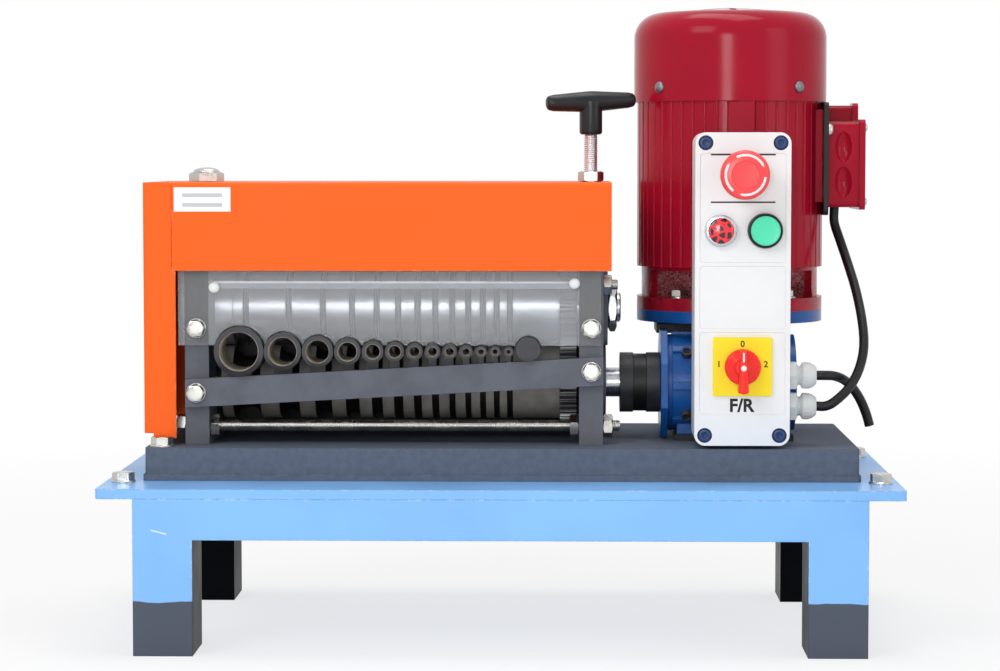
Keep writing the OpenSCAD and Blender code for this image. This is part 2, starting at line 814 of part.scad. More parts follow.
// Wheel housing, worm housing and the flange that carries the motor
module gearbox_housing() color(gearbox_blue) difference() {
    union() {
        translate([0, roller_y, lower_z]) rod_x(housing_x, gearbox_len, 2 * gearbox_r);
        translate([0, 0, foot_top]) linear_extrude(flange_z - foot_top) worm_housing_outline();
        translate([housing_x + 2 * foot_inset, roller_y - gearbox_toe, foot_top])
            cube([gearbox_len - 4 * foot_inset, gearbox_centres + gearbox_toe, lower_z - foot_top]);
        translate([motor_x, motor_y, flange_z]) cylinder(d = flange_d, h = gear_flange_t, $fn = 96);
        for (a = [-135 : 45 : 135]) translate([0, roller_y, lower_z]) rotate([a, 0, 0])
            translate([housing_x, -3, 0]) cube([gearbox_len * 0.4, 6, gearbox_r + 2.5]);
    }
    translate([0, roller_y, lower_z]) rod_x(housing_x - cut, gearbox_len * 0.6 + cut, shaft_d + 2 * fit);
    translate([motor_x, motor_y, lower_z + shaft_clear]) cylinder(d = motor_shaft_d + 2, h = flange_h);
    for (a = [45 : 90 : 315])
        translate([motor_x, motor_y, flange_z - cut]) rotate([0, 0, a]) translate([flange_pcd / 2, 0, 0])
            cylinder(d = 8 + 2 * fit, h = gear_flange_t + 2 * cut);
}

// Octagonal cover on the output side, with a round boss
module gearbox_output_cover() color(gearbox_blue) translate([0, roller_y, lower_z]) difference() {
    union() {
        translate([gearbox_x, 0, 0]) rotate([0, 90, 0]) rotate([0, 0, 22.5])
            cylinder(r = output_cover_r / cos(22.5), h = output_cover_t * 0.6, $fn = 8);
        rod_x(gearbox_x, output_cover_t, 2 * gearbox_r);
    }
    rod_x(gearbox_x - cut, output_cover_t + 2 * cut, shaft_d + 1);
}

module gearbox_foot() color(black)
    translate([housing_x + foot_inset, roller_y - gearbox_toe - foot_reach, base_top])
        cube([gearbox_len - 2 * foot_inset, gearbox_centres + gearbox_toe + worm_d / 2 + 2 * foot_reach, foot_t]);

// Round end bell with four open pockets for the flange bolts
module motor_end_bell() color(motor_red) translate([motor_x, motor_y, 0]) difference() {
    union() {
        translate([0, 0, motor_flange_z]) cylinder(d = flange_d, h = motor_flange_t, $fn = 96);
        translate([0, 0, bell_z]) cylinder(d = bell_d, h = bell_h, $fn = 96);
    }
    for (a = [45 : 90 : 315]) rotate([0, 0, a]) {
        translate([0, -26, 0]) slab_y(0, 52) polygon([
            [48, bell_z], [bell_d, bell_z], [bell_d, body_z - 3], [66, body_z - 3]
        ]);
        translate([flange_pcd / 2, 0, motor_flange_z - cut])
            cylinder(d = m8_hole, h = motor_flange_t + 2 * cut);
    }
    translate([0, 0, motor_flange_z - cut]) cylinder(d = motor_shaft_d + 2, h = bell_h + motor_flange_t + 2 * cut);
    translate([0, 0, body_z - motor_bearing_w]) cylinder(d = bearing_d + 2 * fit, h = motor_bearing_w + cut);
}

// Fluted motor body with its upper shield and the pad for the terminal box
module motor_body() color(motor_red) difference() {
    union() {
        translate([motor_x, motor_y, body_z]) linear_extrude(motor_h) difference() {
            circle(d = motor_d, $fn = 96);
            for (k = [0 : flute_count - 1]) rotate((k + 0.5) * 360 / flute_count)
                translate([motor_d / 2 + flute_r * 0.4, 0]) circle(r = flute_r, $fn = 16);
        }
        translate([motor_x, motor_y - terminal_w / 2 + pad_inset, terminal_z - terminal_h / 2 + pad_inset])
            cube([pad_x - motor_x, terminal_w - 2 * pad_inset, terminal_h - 2 * pad_inset]);
        translate([motor_x - strip_w / 2, motor_y - motor_d / 2 - strip_rise, body_z]) cube([strip_w, strip_w, motor_h - fan_seat - pass]);
    }
    translate([pad_x, motor_y - motor_d / 2, terminal_z - terminal_h / 2 - gasket_drop - pass])
        cube([motor_d, motor_d, terminal_h + gasket_drop + 2 * pass]);
    translate([motor_x, motor_y, body_z - cut]) cylinder(d = motor_bore, h = motor_h - shield_t + cut);
    translate([motor_x, motor_y, fan_cover_z - shield_t - cut])
        cylinder(d = bearing_d + 2 * fit, h = shield_t + 2 * cut);
}

module stator_core() color(steel) translate([motor_x, motor_y, stator_z]) difference() {
    cylinder(d = motor_bore - 2 * fit, h = stator_len);
    translate([0, 0, -cut]) cylinder(d = rotor_d + 2 * rotor_gap, h = stator_len + 2 * cut);
}

// Half section of the fan cover, thinner by the wall for its inside
module fan_cover_section(wall) {
    r = fan_cover_d / 2;
    skirt = fan_cover_h - fan_shoulder - fan_crown;
    square([r - wall, skirt]);
    translate([0, skirt]) {
        square([r - fan_shoulder, fan_shoulder - wall]);
        translate([r - fan_shoulder, 0]) intersection() {
            circle(r = fan_shoulder - wall);
            square(fan_shoulder);
        }
    }
    polygon([
        [0, skirt], [r - fan_shoulder, skirt],
        [r - fan_shoulder, fan_cover_h - fan_crown - wall], [0, fan_cover_h - wall]
    ]);
}

// Spun cap over the fan: straight skirt, round shoulder, crowned and slotted top
module fan_cover() color(motor_red) translate([motor_x, motor_y, fan_cover_z]) {
    difference() {
        rotate_extrude($fn = 96) fan_cover_section(0);
        rotate_extrude($fn = 96) fan_cover_section(fan_wall);
        translate([0, 0, -cut]) cylinder(d = fan_cover_d - 2 * fan_wall, h = 2 * cut, $fn = 96);
        for (a = [0 : 30 : 330]) rotate([0, 0, a])
            translate([22, -3, fan_cover_h - fan_crown - 3 * fan_wall]) cube([34, 6, 20]);
    }
    translate([0, 0, -fan_seat]) difference() {
        cylinder(d = fan_cover_d, h = fan_seat, $fn = 96);
        translate([0, 0, -cut]) cylinder(d = motor_d + 2 * pass, h = fan_seat + 2 * cut, $fn = 96);
    }
}

// Outline of the terminal box seen along X: a low front part and a raised rear part
module terminal_outline(grow) {
    translate([motor_y, terminal_z - terminal_step / 2])
        rounded_rect(terminal_w + 2 * grow, terminal_h - terminal_step + 2 * grow, terminal_r);
    translate([motor_y + (terminal_w - terminal_rear) / 2, terminal_z])
        rounded_rect(terminal_rear + 2 * grow, terminal_h + 2 * grow, terminal_r);
}

// Plate between the motor's flat pad and the tub, wider than the tub for its screws
module terminal_gasket() color(black) slab_x(pad_x, gasket_t) translate([motor_y, terminal_z - gasket_drop / 2])
    rounded_rect(terminal_w + 2 * gasket_edge, terminal_h + gasket_drop, terminal_r);

// Tub with two oval hollows cast into its front
module terminal_box() color(motor_red) difference() {
    slab_x(tub_x, terminal_tub) terminal_outline(-tub_inset);
    for (s = [-1, 1])
        translate([
            tub_x + terminal_tub / 2, motor_y - terminal_w / 2 + tub_inset - hollow_out,
            terminal_z + (s * hollow_pitch - terminal_step) / 2
        ]) rotate_extrude() polygon([for (a = [-90 : 15 : 90]) [hollow_r * cos(a), hollow_len / 2 * sin(a)]]);
}

module terminal_lid() color(motor_red) slab_x(tub_x + terminal_tub, terminal_lid_t) terminal_outline(lid_lap);

// Control box

// Angle bracket from the base to the box's back
module control_bracket() color(base_grey) {
    w = 54;
    translate([box_x - w / 2, tub_back, base_top]) cube([w, bracket_t, box_h * 0.85]);
    translate([box_x - w / 2, tub_back, base_top]) cube([w, bracket_t + 8, bracket_t]);
}

// Outline of the box with its round corners
module box_outline(wall) translate([box_x, box_mid_z])
    rounded_rect(box_w - 2 * wall, box_h - 2 * wall, box_r - wall);

module control_box() color(box_white) difference() {
    slab_y(lid_back, tub_d) box_outline(0);
    slab_y(lid_back - cut, tub_d - box_wall + cut) box_outline(box_wall);
}

// Where the lid's screws sit
module at_lid_screws() for (sx = [-1, 1], sz = [-1, 1])
    translate([box_x + sx * (box_w / 2 - box_screw_inset), lid_front, box_mid_z + sz * (box_h / 2 - box_screw_inset)])
        children();

// Label panel pressed into the lid, from height z0 to z1 over the box's foot
module lid_panel(z0, z1) slab_y(lid_front - cut, panel_depth + cut)
    translate([box_x, box_z + (z0 + z1) / 2]) rounded_rect(box_w - 8, z1 - z0, 3);

module control_lid() color(box_white) difference() {
    slab_y(lid_front, lid_d) box_outline(0);
    difference() {
        slab_y(lid_front + box_wall, lid_d) box_outline(box_wall);
        at_lid_screws() rod_y(0, lid_d, 14);
    }
    for (span = lid_panels) lid_panel(span[0], span[1]);
    at_lid_screws() {
        rod_y(-cut, 3 + cut, 11.5 + 2 * fit);
        rod_y(-cut, lid_d + 2 * cut, 5 + 2 * fit);
    }
    for (p = [[0, estop_z], [-lamp_dx, lamp_z], [lamp_dx, lamp_z]])
        translate([box_x + p[0], 0, p[1]]) rod_y(lid_front - cut, 2 * box_wall, control_hole);
    translate([box_x, 0, switch_z]) rod_y(lid_front - cut, 2 * box_wall, knob_shaft_d + 6);
}

// Countersunk socket screws of the lid
module lid_screws() color("#23406f") at_lid_screws() difference() {
    union() {
        rod_y(-0.2, 3.2, 11.5);
        rod_y(0, lid_d - 1, 5);
    }
    rotate([90, 0, 0]) translate([0, 0, -2]) hexagon(5, 4);
}

// Panel rings of the emergency stop, the lamp and the start button
module panel_ring(x, z, d, len, bore) translate([x, lid_front + panel_depth, z]) difference() {
    union() {
        rod_y(-len, len, d);
        rod_y(0, box_wall - panel_depth, control_hole - 2 * pass);
    }
    rod_y(-len - cut, len + box_wall + cut, bore);
}

module panel_bezels() color(black) {
    panel_ring(box_x, estop_z, estop_d * 0.8, ring_len, stem_d + 2 * pass);
    panel_ring(box_x - lamp_dx, lamp_z, lamp_d, ring_len, lens_d + 2 * fit);
    difference() {
        panel_ring(box_x + lamp_dx, lamp_z, start_d + 5, start_ring_len, start_stem_d + 2 * pass);
        translate([box_x + lamp_dx, lid_front + panel_depth - start_ring_len - cut, lamp_z])
            rod_y(0, start_ring_len - 1 + cut, start_d + 2 * pass);
    }
}

// Domed lens of the pilot lamp
module lamp_lens() color("#a3151f")
    translate([box_x - lamp_dx, lid_front + panel_depth - ring_len, lamp_z]) {
        rod_y(0, ring_len + 3, lens_d);
        rotate([90, 0, 0]) cylinder(d1 = lens_d + 3, d2 = lens_d - 3, h = 3);
    }

module switch_plate() color("#f6d70f") difference() {
    slab_y(lid_front + panel_depth - 3.2, 3.2)
        translate([box_x, switch_z]) rounded_rect(switch_plate_w, switch_plate_w, 1.5);
    translate([box_x, 0, switch_z]) rod_y(lid_front - 5, 10, knob_shaft_d + 2 * pass);
}

// Switch bodies behind the lid
module contact_blocks() color("#3b3f45") {
    for (p = [[0, estop_z, stem_d], [-lamp_dx, lamp_z, lens_d], [lamp_dx, lamp_z, start_stem_d],
            [0, switch_z, knob_shaft_d]])
        translate([box_x + p[0], lid_front + box_wall + fit, p[1]]) difference() {
            translate([-contact_w / 2, 0, -contact_h / 2]) cube([contact_w, contact_depth, contact_h]);
            rod_y(-cut, contact_bore + cut, p[2] + 1.5);
        }
}

// Nylon glands on the box's right wall: hexagon seat, hollow waist and domed nut
module cable_glands() color("#d9dbd8") for (z = gland_z)
    translate([box_x + box_w / 2, gland_y, z]) rotate([0, 90, 0]) {
        hexagon(gland_af, gland_hex);
        translate([0, 0, gland_hex]) rotate_extrude() polygon([
            [0, 0], [gland_af / 2 - 2, 0], [gland_waist_d / 2, gland_waist / 2], [gland_af / 2 - 1, gland_waist],
            [gland_af / 2, gland_waist + 1], [gland_af / 2, gland_waist + gland_nut / 2],
            [gland_af / 2 - 1, gland_waist + gland_nut * 0.75], [gland_mouth_d / 2, gland_waist + gland_nut],
            [0, gland_waist + gland_nut]
        ]);
    }

module motor_cable() color(black) cord(motor_cable_route);

module supply_cable() color(black) cord(supply_route);

// Lower roller and the drive shaft

module lower_shaft() color(steel) translate([0, roller_y, lower_z])
    rod_x(left_out + 2, gearbox_x + output_cover_t + gearbox_len * 0.55 - left_out - 2, shaft_d);

// Feed roller turned from bar, with one groove under each cutter disc
module lower_feed_roller() color(tool_steel) translate([0, roller_y, lower_z]) {
    r = lower_roller_d / 2;
    hub_r = shaft_d / 2 + 6;
    bore_r = shaft_d / 2 + fit;
    turned_x([
        [left_in + pass, bore_r], [left_in + pass, hub_r], [roller_x, hub_r], [roller_x, r],
        for (i = [0 : tube_count - 1]) each [
            [tube_x(i) - groove_w / 2, r], [tube_x(i) - groove_w / 2, r - groove_depth],
            [tube_x(i) + groove_w / 2, r - groove_depth], [tube_x(i) + groove_w / 2, r]
        ],
        [gear_x - pass, r], [gear_x - pass, bore_r]
    ]);
}

module lower_gear() color(tool_steel) translate([0, roller_y, lower_z]) drive_gear(90);

// Two coupling hubs with the elastic ring between them
module coupling_hubs() color(black) translate([0, roller_y, lower_z])
    for (x = [coupling_x, coupling_x + 2 * coupling_ring])
        ring_x(x, coupling_ring, coupling_d, shaft_d + 2 * fit);

module coupling_spider() color("#2c2f33") translate([0, roller_y, lower_z])
    ring_x(coupling_x + coupling_ring + fit, coupling_ring - 2 * fit, coupling_d - 2, shaft_d + 2 * fit);

// Sliding blocks with the cutter shaft

// Block in a plate's slot, its flange outside the plate, and the keeper plate on top
module bearing_block(x0, flange_x, bearing_x) {
    difference() {
        union() {
            translate([x0, roller_y - block_w / 2, block_foot]) cube([plate_t, block_w, block_top - block_foot]);
            slab_x(flange_x, block_flange_t) translate([roller_y, upper_z]) rounded_rect(block_flange, block_flange, 8);
        }
        translate([0, roller_y, upper_z]) {
            rod_x(bearing_x, block_bearing_w, block_bearing_d + 2 * fit);
            rod_x(x0 - 2 * block_flange_t, plate_t + 4 * block_flange_t, shaft_d + 2);
        }
        translate([x0 + plate_t / 2, roller_y, collar_z - pass])
            cylinder(d = collar_d + 2 * pass, h = block_flange);
    }
    translate([x0 + plate_t / 2, roller_y, block_top]) difference() {
        translate([-plate_t / 2, -block_w / 2, 0]) cube([plate_t, block_w, keeper_t]);
        translate([0, 0, -cut]) cylinder(d = screw_d + 2 * pass, h = keeper_t + 2 * cut);
    }
}

module bearing_blocks() color(plate_grey) {
    bearing_block(left_out, left_out - pass - block_flange_t, left_mid - block_bearing_w / 2);
    bearing_block(right_in, right_out + pass, right_mid - block_bearing_w / 2);
}

module upper_bearings() color(steel) translate([0, roller_y, upper_z])
    for (mid = [left_mid, right_mid])
        ring_x(mid - block_bearing_w / 2 + fit, block_bearing_w - 2 * fit, block_bearing_d, shaft_d + 2 * fit);

// Cutter shaft with its two end nuts
module upper_shaft() color(steel) translate([0, roller_y, upper_z]) {
    nut_h = 8;
    end = block_flange_t + 2 * pass;
    rod_x(left_out - end - nut_h - 3, plate_span + 2 * (end + nut_h + 3), shaft_d);
    for (x = [left_out - end - nut_h, right_out + end]) difference() {
        translate([x, 0, 0]) rotate([0, 90, 0]) hexagon(36, nut_h);
        rod_x(x - cut, nut_h + 2 * cut, shaft_d + 2 * fit);
    }
}

// Cutter discs with bevelled edges
module blade_discs() color(tool_steel) translate([0, roller_y, upper_z]) for (i = [0 : tube_count - 1]) {
    x0 = tube_x(i) - blade_t / 2;
    x1 = tube_x(i) + blade_t / 2;
    r = blade_d / 2;
    bevel = 2;
    bore_r = shaft_d / 2 + fit;
    turned_x([
        [x0, bore_r], [x0, r - bevel], [tube_x(i) - 0.3, r], [tube_x(i) + 0.3, r], [x1, r - bevel], [x1, bore_r]
    ]);
}

// One spacer with turned shoulders at both ends
module spacer(x0, x1) {
    r = spacer_d / 2;
    bore_r = shaft_d / 2 + fit;
    turned_x([
        [x0, bore_r], [x0, r - shoulder_depth], [x0 + shoulder_w, r - shoulder_depth], [x0 + shoulder_w, r],
        [x1 - shoulder_w, r], [x1 - shoulder_w, r - shoulder_depth], [x1, r - shoulder_depth], [x1, bore_r]
    ]);
}

// Spacers between the discs, and the collar beside the left plate
module blade_spacers() color(steel) translate([0, roller_y, upper_z]) {
    half = blade_t / 2 + fit;
    ring_x(left_in + pass, collar_len - pass - fit, spacer_d + 4, shaft_d + 2 * fit);
    spacer(roller_x, tube_x(0) - half);
    for (i = [0 : tube_count - 2]) spacer(tube_x(i) + half, tube_x(i + 1) - half);
    spacer(tube_x(tube_count - 1) + half, gear_x - pass);
}

module upper_gear() color(tool_steel) translate([0, roller_y, upper_z]) drive_gear(90 + 180 / gear_teeth);

// Depth adjustment

// Screw with the collar that the keeper plate holds down in the block
module adjusting_screw(x, top) translate([x, roller_y, 0]) {
    translate([0, 0, collar_z]) cylinder(d = collar_d, h = collar_h);
    translate([0, 0, collar_z]) cylinder(d = screw_d, h = top - collar_z);
}

module depth_screw() color(steel) adjusting_screw(right_mid, handle_hub_z);

// Rounded corner at one end of the grip's half section
function grip_corner(s) = [for (k = [0 : 30 : 90]) let (a = s > 0 ? 90 - k : k) [
    handle_grip_d[1] / 2 - handle_tip_round * (1 - sin(a)), s * (handle_bar_len / 2 - handle_tip_round * (1 - cos(a)))
]];

// Moulded T-handle: a straight hub under a grip that tapers from its middle to rounded ends
module depth_handle() color(black) translate([right_mid, roller_y, 0]) {
    translate([0, 0, handle_hub_z]) {
        cylinder(d1 = handle_hub_d - 2 * handle_hub_round, d2 = handle_hub_d, h = handle_hub_round);
        translate([0, 0, handle_hub_round]) cylinder(d = handle_hub_d, h = handle_hub_h - handle_hub_round);
    }
    translate([0, 0, handle_bar_z]) rotate([0, 90 - handle_tilt, handle_turn]) rotate_extrude() polygon(concat(
        [[0, -handle_bar_len / 2]], grip_corner(-1), [[handle_grip_d[0] / 2, 0]], grip_corner(1),
        [[0, handle_bar_len / 2]]
    ));
}

// Left screw with its domed cap nut
module left_screw() color(zinc) {
    adjusting_screw(left_mid, cover_top + 4);
    translate([left_mid, roller_y, cover_top + pass]) {
        hexagon(26, 8);
        translate([0, 0, 8]) cylinder(d1 = 24, d2 = 16, h = 4);
    }
}

// Motor rotor and fan

module motor_rotor() color(steel) translate([motor_x, motor_y, 0]) {
    shaft_z = lower_z + shaft_clear + 2;
    translate([0, 0, shaft_z]) cylinder(d = motor_shaft_d, h = fan_z + fan_h + fan_stub - shaft_z);
    translate([0, 0, stator_z]) cylinder(d = rotor_d, h = stator_len);
}

// Fan with straight blades on the motor shaft
module cooling_fan() color(black) translate([motor_x, motor_y, fan_z]) difference() {
    hub_d = motor_shaft_d + 20;
    union() {
        cylinder(d = hub_d, h = fan_h);
        cylinder(d = fan_d * 0.86, h = fan_web);
        for (a = [0 : 45 : 315]) rotate([0, 0, a])
            translate([hub_d / 2 - fan_web, -fan_web / 2, 0]) cube([(fan_d - hub_d) / 2 + fan_web, fan_web, fan_h]);
    }
    translate([0, 0, -cut]) cylinder(d = motor_shaft_d + 2 * fit, h = fan_h + 2 * cut);
}

// Controls that move

module estop_plunger() color("#b9bcc0") translate([box_x, lid_front, estop_z]) rod_y(-24, 34, stem_d);

// Mushroom head: crowned face with a shallow round recess in its middle
module estop_head() color("#d9282e") translate([box_x, lid_front, estop_z]) difference() {
    r = estop_d / 2;
    rotate([90, 0, 0]) rotate_extrude() polygon([
        [0, estop_back], [r - 4, estop_back], [r, estop_back + 3], [r, estop_front - 4.5], [r - 0.8, estop_front - 2.2],
        [r - 3, estop_front - 0.8], [estop_recess_d / 2, estop_front], [estop_recess_d / 2 - 0.5, estop_front - 0.7],
        [0, estop_front - 0.5]
    ]);
    rod_y(-24 - pass, 9, stem_d + 2 * fit);
}

module start_button() color("#1fae62") translate([box_x + lamp_dx, lid_front, lamp_z]) {
    back = panel_depth - 1 - pass - start_travel;
    rod_y(back - 6, 6, start_d);
    rod_y(back, 10, start_stem_d);
}

// Knob disc with a boss round its pivot and a grip across it, wider and longer below
module switch_knob() color("#e3241f") translate([box_x, lid_front, switch_z]) {
    seat = 3.2 - panel_depth + pass;
    rod_y(-seat - knob_disc_t, knob_disc_t, knob_d);
    rod_y(-seat - 1, seat + 12, knob_shaft_d);
    rod_y(-seat - knob_disc_t - knob_boss_rise, knob_boss_rise + 1, knob_boss_d);
    slab_y(-seat - knob_disc_t - grip_rise, grip_rise + 1) polygon([
        [-grip_w[0] / 2, grip_reach[0]], [grip_w[0] / 2, grip_reach[0]],
        [grip_w[1] / 2, -grip_reach[1]], [-grip_w[1] / 2, -grip_reach[1]]
    ]);
}

stand_top();
stand_frame();
machine_base();
hex_bolts_m10();
left_side_plate();
right_side_plate();
side_plate_caps();
shaft_bearings();
bearing_caps();
guide_bar();
guide_tubes();
tie_rod();
hex_nuts();
guard_window();
guard_cross_bar();
hex_bolts_m8();
top_cover();
left_end_cover();
gearbox_housing();
gearbox_output_cover();
gearbox_foot();
motor_end_bell();
motor_body();
stator_core();
fan_cover();
terminal_gasket();
terminal_box();
terminal_lid();
control_bracket();
control_box();
control_lid();
lid_screws();
panel_bezels();
lamp_lens();
switch_plate();
contact_blocks();
cable_glands();
motor_cable();
supply_cable();
lower_shaft();
lower_feed_roller();
lower_gear();
coupling_hubs();
coupling_spider();
bearing_blocks();
upper_bearings();
upper_shaft();
blade_discs();
blade_spacers();
upper_gear();
depth_handle();
depth_screw();
left_screw();
motor_rotor();
cooling_fan();
estop_plunger();
estop_head();
start_button();
switch_knob();
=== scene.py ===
# %% [markdown]
# A cable stripping machine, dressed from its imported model.
#
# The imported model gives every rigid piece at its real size, in metres. This lesson keeps that frame as it
# is, gives each piece its finish, and swaps a few plain solids for finer surfaces worked out with numpy.

# %% Load the frame
import json
import math

import bmesh
import bpy
import numpy as np
from mathutils import Matrix, Vector


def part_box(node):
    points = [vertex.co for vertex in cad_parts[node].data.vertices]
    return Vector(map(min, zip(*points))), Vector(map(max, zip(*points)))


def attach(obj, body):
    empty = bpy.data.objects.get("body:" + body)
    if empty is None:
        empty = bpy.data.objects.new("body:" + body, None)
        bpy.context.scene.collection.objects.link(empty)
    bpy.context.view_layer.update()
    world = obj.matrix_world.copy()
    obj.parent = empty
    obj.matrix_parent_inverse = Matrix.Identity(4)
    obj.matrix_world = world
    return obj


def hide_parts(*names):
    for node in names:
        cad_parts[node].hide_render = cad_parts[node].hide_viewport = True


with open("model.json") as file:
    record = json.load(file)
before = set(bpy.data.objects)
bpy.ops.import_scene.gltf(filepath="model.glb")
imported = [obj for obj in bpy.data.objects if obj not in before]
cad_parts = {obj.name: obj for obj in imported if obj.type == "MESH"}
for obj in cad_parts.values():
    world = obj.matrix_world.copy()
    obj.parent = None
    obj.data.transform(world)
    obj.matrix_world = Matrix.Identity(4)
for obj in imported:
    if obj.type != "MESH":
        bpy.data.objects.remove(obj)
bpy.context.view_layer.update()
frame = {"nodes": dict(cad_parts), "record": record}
MM = 0.001


# %% [markdown]
# The camera comes first. The photograph was taken from far away with a long lens, a little to the right of
# the machine's middle and a little above its covers, so its upright edges stay parallel. A camera with a
# long lens, turned slightly left and down, gives the same framing without any lens shift.

# %% Camera
PHOTO_SIZE = (1000, 671)
PHOTO_FOCUS = 2819.0
EYE_PIXEL = (562.0, 158.3)
EYE = Vector((0.0496, -2.4158, 0.3999))
SENSOR = 36.0

yaw = math.atan((EYE_PIXEL[0] - PHOTO_SIZE[0] / 2) / PHOTO_FOCUS)
pitch = math.atan((EYE_PIXEL[1] - PHOTO_SIZE[1] / 2) / PHOTO_FOCUS)

camera_data = bpy.data.cameras.new("photo_camera")
camera_data.sensor_width = SENSOR
camera_data.lens = PHOTO_FOCUS * SENSOR / PHOTO_SIZE[0]
camera_data.clip_end = 50
camera = bpy.data.objects.new("photo_camera", camera_data)
camera.location = EYE
camera.rotation_euler = (math.pi / 2 + pitch, 0, yaw)
bpy.context.scene.collection.objects.link(camera)
bpy.context.scene.camera = camera
print("camera lens:", round(camera_data.lens, 1), "mm")


# %% [markdown]
# Studio light. A big pale floor runs back to a white world, so the machine stands on white as in a
# catalogue. Four soft panels model the forms: a key from the front left, a window just over the camera,
# which draws the bright lines on turned parts, a weak fill from the right and a strip above. The world
# stays white for the camera and for mirrors and clear plastic, and is dimmer as a lamp, so that colours come
# out about as they are written.

# %% Floor and light
def new_nodes(owner):
    """Give a world or a material an empty node tree and return the tree."""
    owner.use_nodes = True
    owner.node_tree.nodes.clear()
    return owner.node_tree


def math_node(tree, operation, *values):
    """A Math node whose inputs are numbers or sockets; returns its output socket."""
    node = tree.nodes.new("ShaderNodeMath")
    node.operation = operation
    for index, value in enumerate(values):
        if isinstance(value, (int, float)):
            node.inputs[index].default_value = value
        else:
            tree.links.new(value, node.inputs[index])
    return node.outputs[0]


def seen_directly(tree):
    """A mask that is 1 for camera, glossy and transmission rays and 0 for the rest."""
    rays = tree.nodes.new("ShaderNodeLightPath").outputs
    first = math_node(tree, "MAXIMUM", rays["Is Camera Ray"], rays["Is Glossy Ray"])
    return math_node(tree, "MAXIMUM", first, rays["Is Transmission Ray"])


def show_mix(tree, share, first, second, output_type):
    """Mix two shader nodes by share and put the result out through a node of output_type."""
    mix = tree.nodes.new("ShaderNodeMixShader")
    for socket, place in zip((share, first.outputs[0], second.outputs[0]), mix.inputs):
        tree.links.new(socket, place)
    output = tree.nodes.new(output_type)
    tree.links.new(mix.outputs[0], output.inputs["Surface"])


WORLD_LIGHT = 0.46
world = bpy.data.worlds.new("studio")
bpy.context.scene.world = world
tree = new_nodes(world)
lit = tree.nodes.new("ShaderNodeBackground")
lit.inputs["Color"].default_value = (1, 1, 1, 1)
lit.inputs["Strength"].default_value = WORLD_LIGHT
shown = tree.nodes.new("ShaderNodeBackground")
shown.inputs["Color"].default_value = (1, 1, 1, 1)
shown.inputs["Strength"].default_value = 1.0
show_mix(tree, seen_directly(tree), lit, shown, "ShaderNodeOutputWorld")


def soft_panel(name, place, target, size, power):
    """A rectangular area lamp at place that looks at target."""
    data = bpy.data.lights.new(name, "AREA")
    data.shape = "RECTANGLE"
    data.size, data.size_y = size
    data.energy = power
    lamp = bpy.data.objects.new(name, data)
    lamp.location = place
    lamp.rotation_euler = (Vector(target) - Vector(place)).to_track_quat("-Z", "Y").to_euler()
    bpy.context.scene.collection.objects.link(lamp)


soft_panel("key_panel", (-1.3, -1.9, 1.7), (0, 0, 0.25), (1.2, 1.2), 20)
soft_panel("front_panel", (-0.15, -2.9, 0.62), (0, 0, 0.28), (0.55, 0.75), 15)
soft_panel("fill_panel", (1.9, -1.2, 0.9), (0, 0, 0.25), (0.9, 1.4), 6)
soft_panel("top_panel", (0.1, 0.1, 2.0), (0, 0, 0.2), (1.4, 0.7), 14)

FLOOR_HALF = 14.0
floor_mesh = bpy.data.meshes.new("floor")
floor_mesh.from_pydata(
    [(-FLOOR_HALF, -FLOOR_HALF, 0), (FLOOR_HALF, -FLOOR_HALF, 0), (FLOOR_HALF, FLOOR_HALF, 0),
     (-FLOOR_HALF, FLOOR_HALF, 0)], [], [(0, 1, 2, 3)])
floor = bpy.data.objects.new("floor", floor_mesh)
bpy.context.scene.collection.objects.link(floor)
floor_paint = bpy.data.materials.new("floor_paint")
tree = new_nodes(floor_paint)
matt = tree.nodes.new("ShaderNodeBsdfDiffuse")
matt.inputs["Color"].default_value = (0.93, 0.93, 0.93, 1)
white = tree.nodes.new("ShaderNodeEmission")
white.inputs["Color"].default_value = (1, 1, 1, 1)
away = tree.nodes.new("ShaderNodeVectorMath")
away.operation = "LENGTH"
tree.links.new(tree.nodes.new("ShaderNodeTexCoord").outputs["Object"], away.inputs[0])
fade = tree.nodes.new("ShaderNodeMapRange")
for label, number in (("From Min", 0.4), ("From Max", 1.6), ("To Min", 0.72), ("To Max", 1.0)):
    fade.inputs[label].default_value = number
tree.links.new(away.outputs["Value"], fade.inputs["Value"])
share = math_node(tree, "MULTIPLY", seen_directly(tree), fade.outputs["Result"])
show_mix(tree, share, matt, white, "ShaderNodeOutputMaterial")
floor_mesh.materials.append(floor_paint)
bpy.context.scene.view_settings.view_transform = "Standard"
print("floor and", len(bpy.data.lights), "panels")


# %% [markdown]
# Effects that several finishes share are node groups, built once. The first gives slow cloudy variation,
# the second gives the fine relief of a painted, cast or moulded skin, and the third finds edges, by
# comparing the true normal with one that a small bevel would have, and breaks the mask up with noise as
# handling does. Each group only puts out values and normals.

# %% Shared node groups
def new_group(name, inputs, outputs):
    """An empty group with named sockets: (name, type, default) for inputs, (name, type) for outputs."""
    group = bpy.data.node_groups.new(name, "ShaderNodeTree")
    for label, kind, value in inputs:
        socket = group.interface.new_socket(label, in_out="INPUT", socket_type=kind)
        if value is not None:
            socket.default_value = value
    for label, kind in outputs:
        group.interface.new_socket(label, in_out="OUTPUT", socket_type=kind)
    ends = group.nodes.new("NodeGroupInput"), group.nodes.new("NodeGroupOutput")
    return group, ends[0].outputs, ends[1].inputs


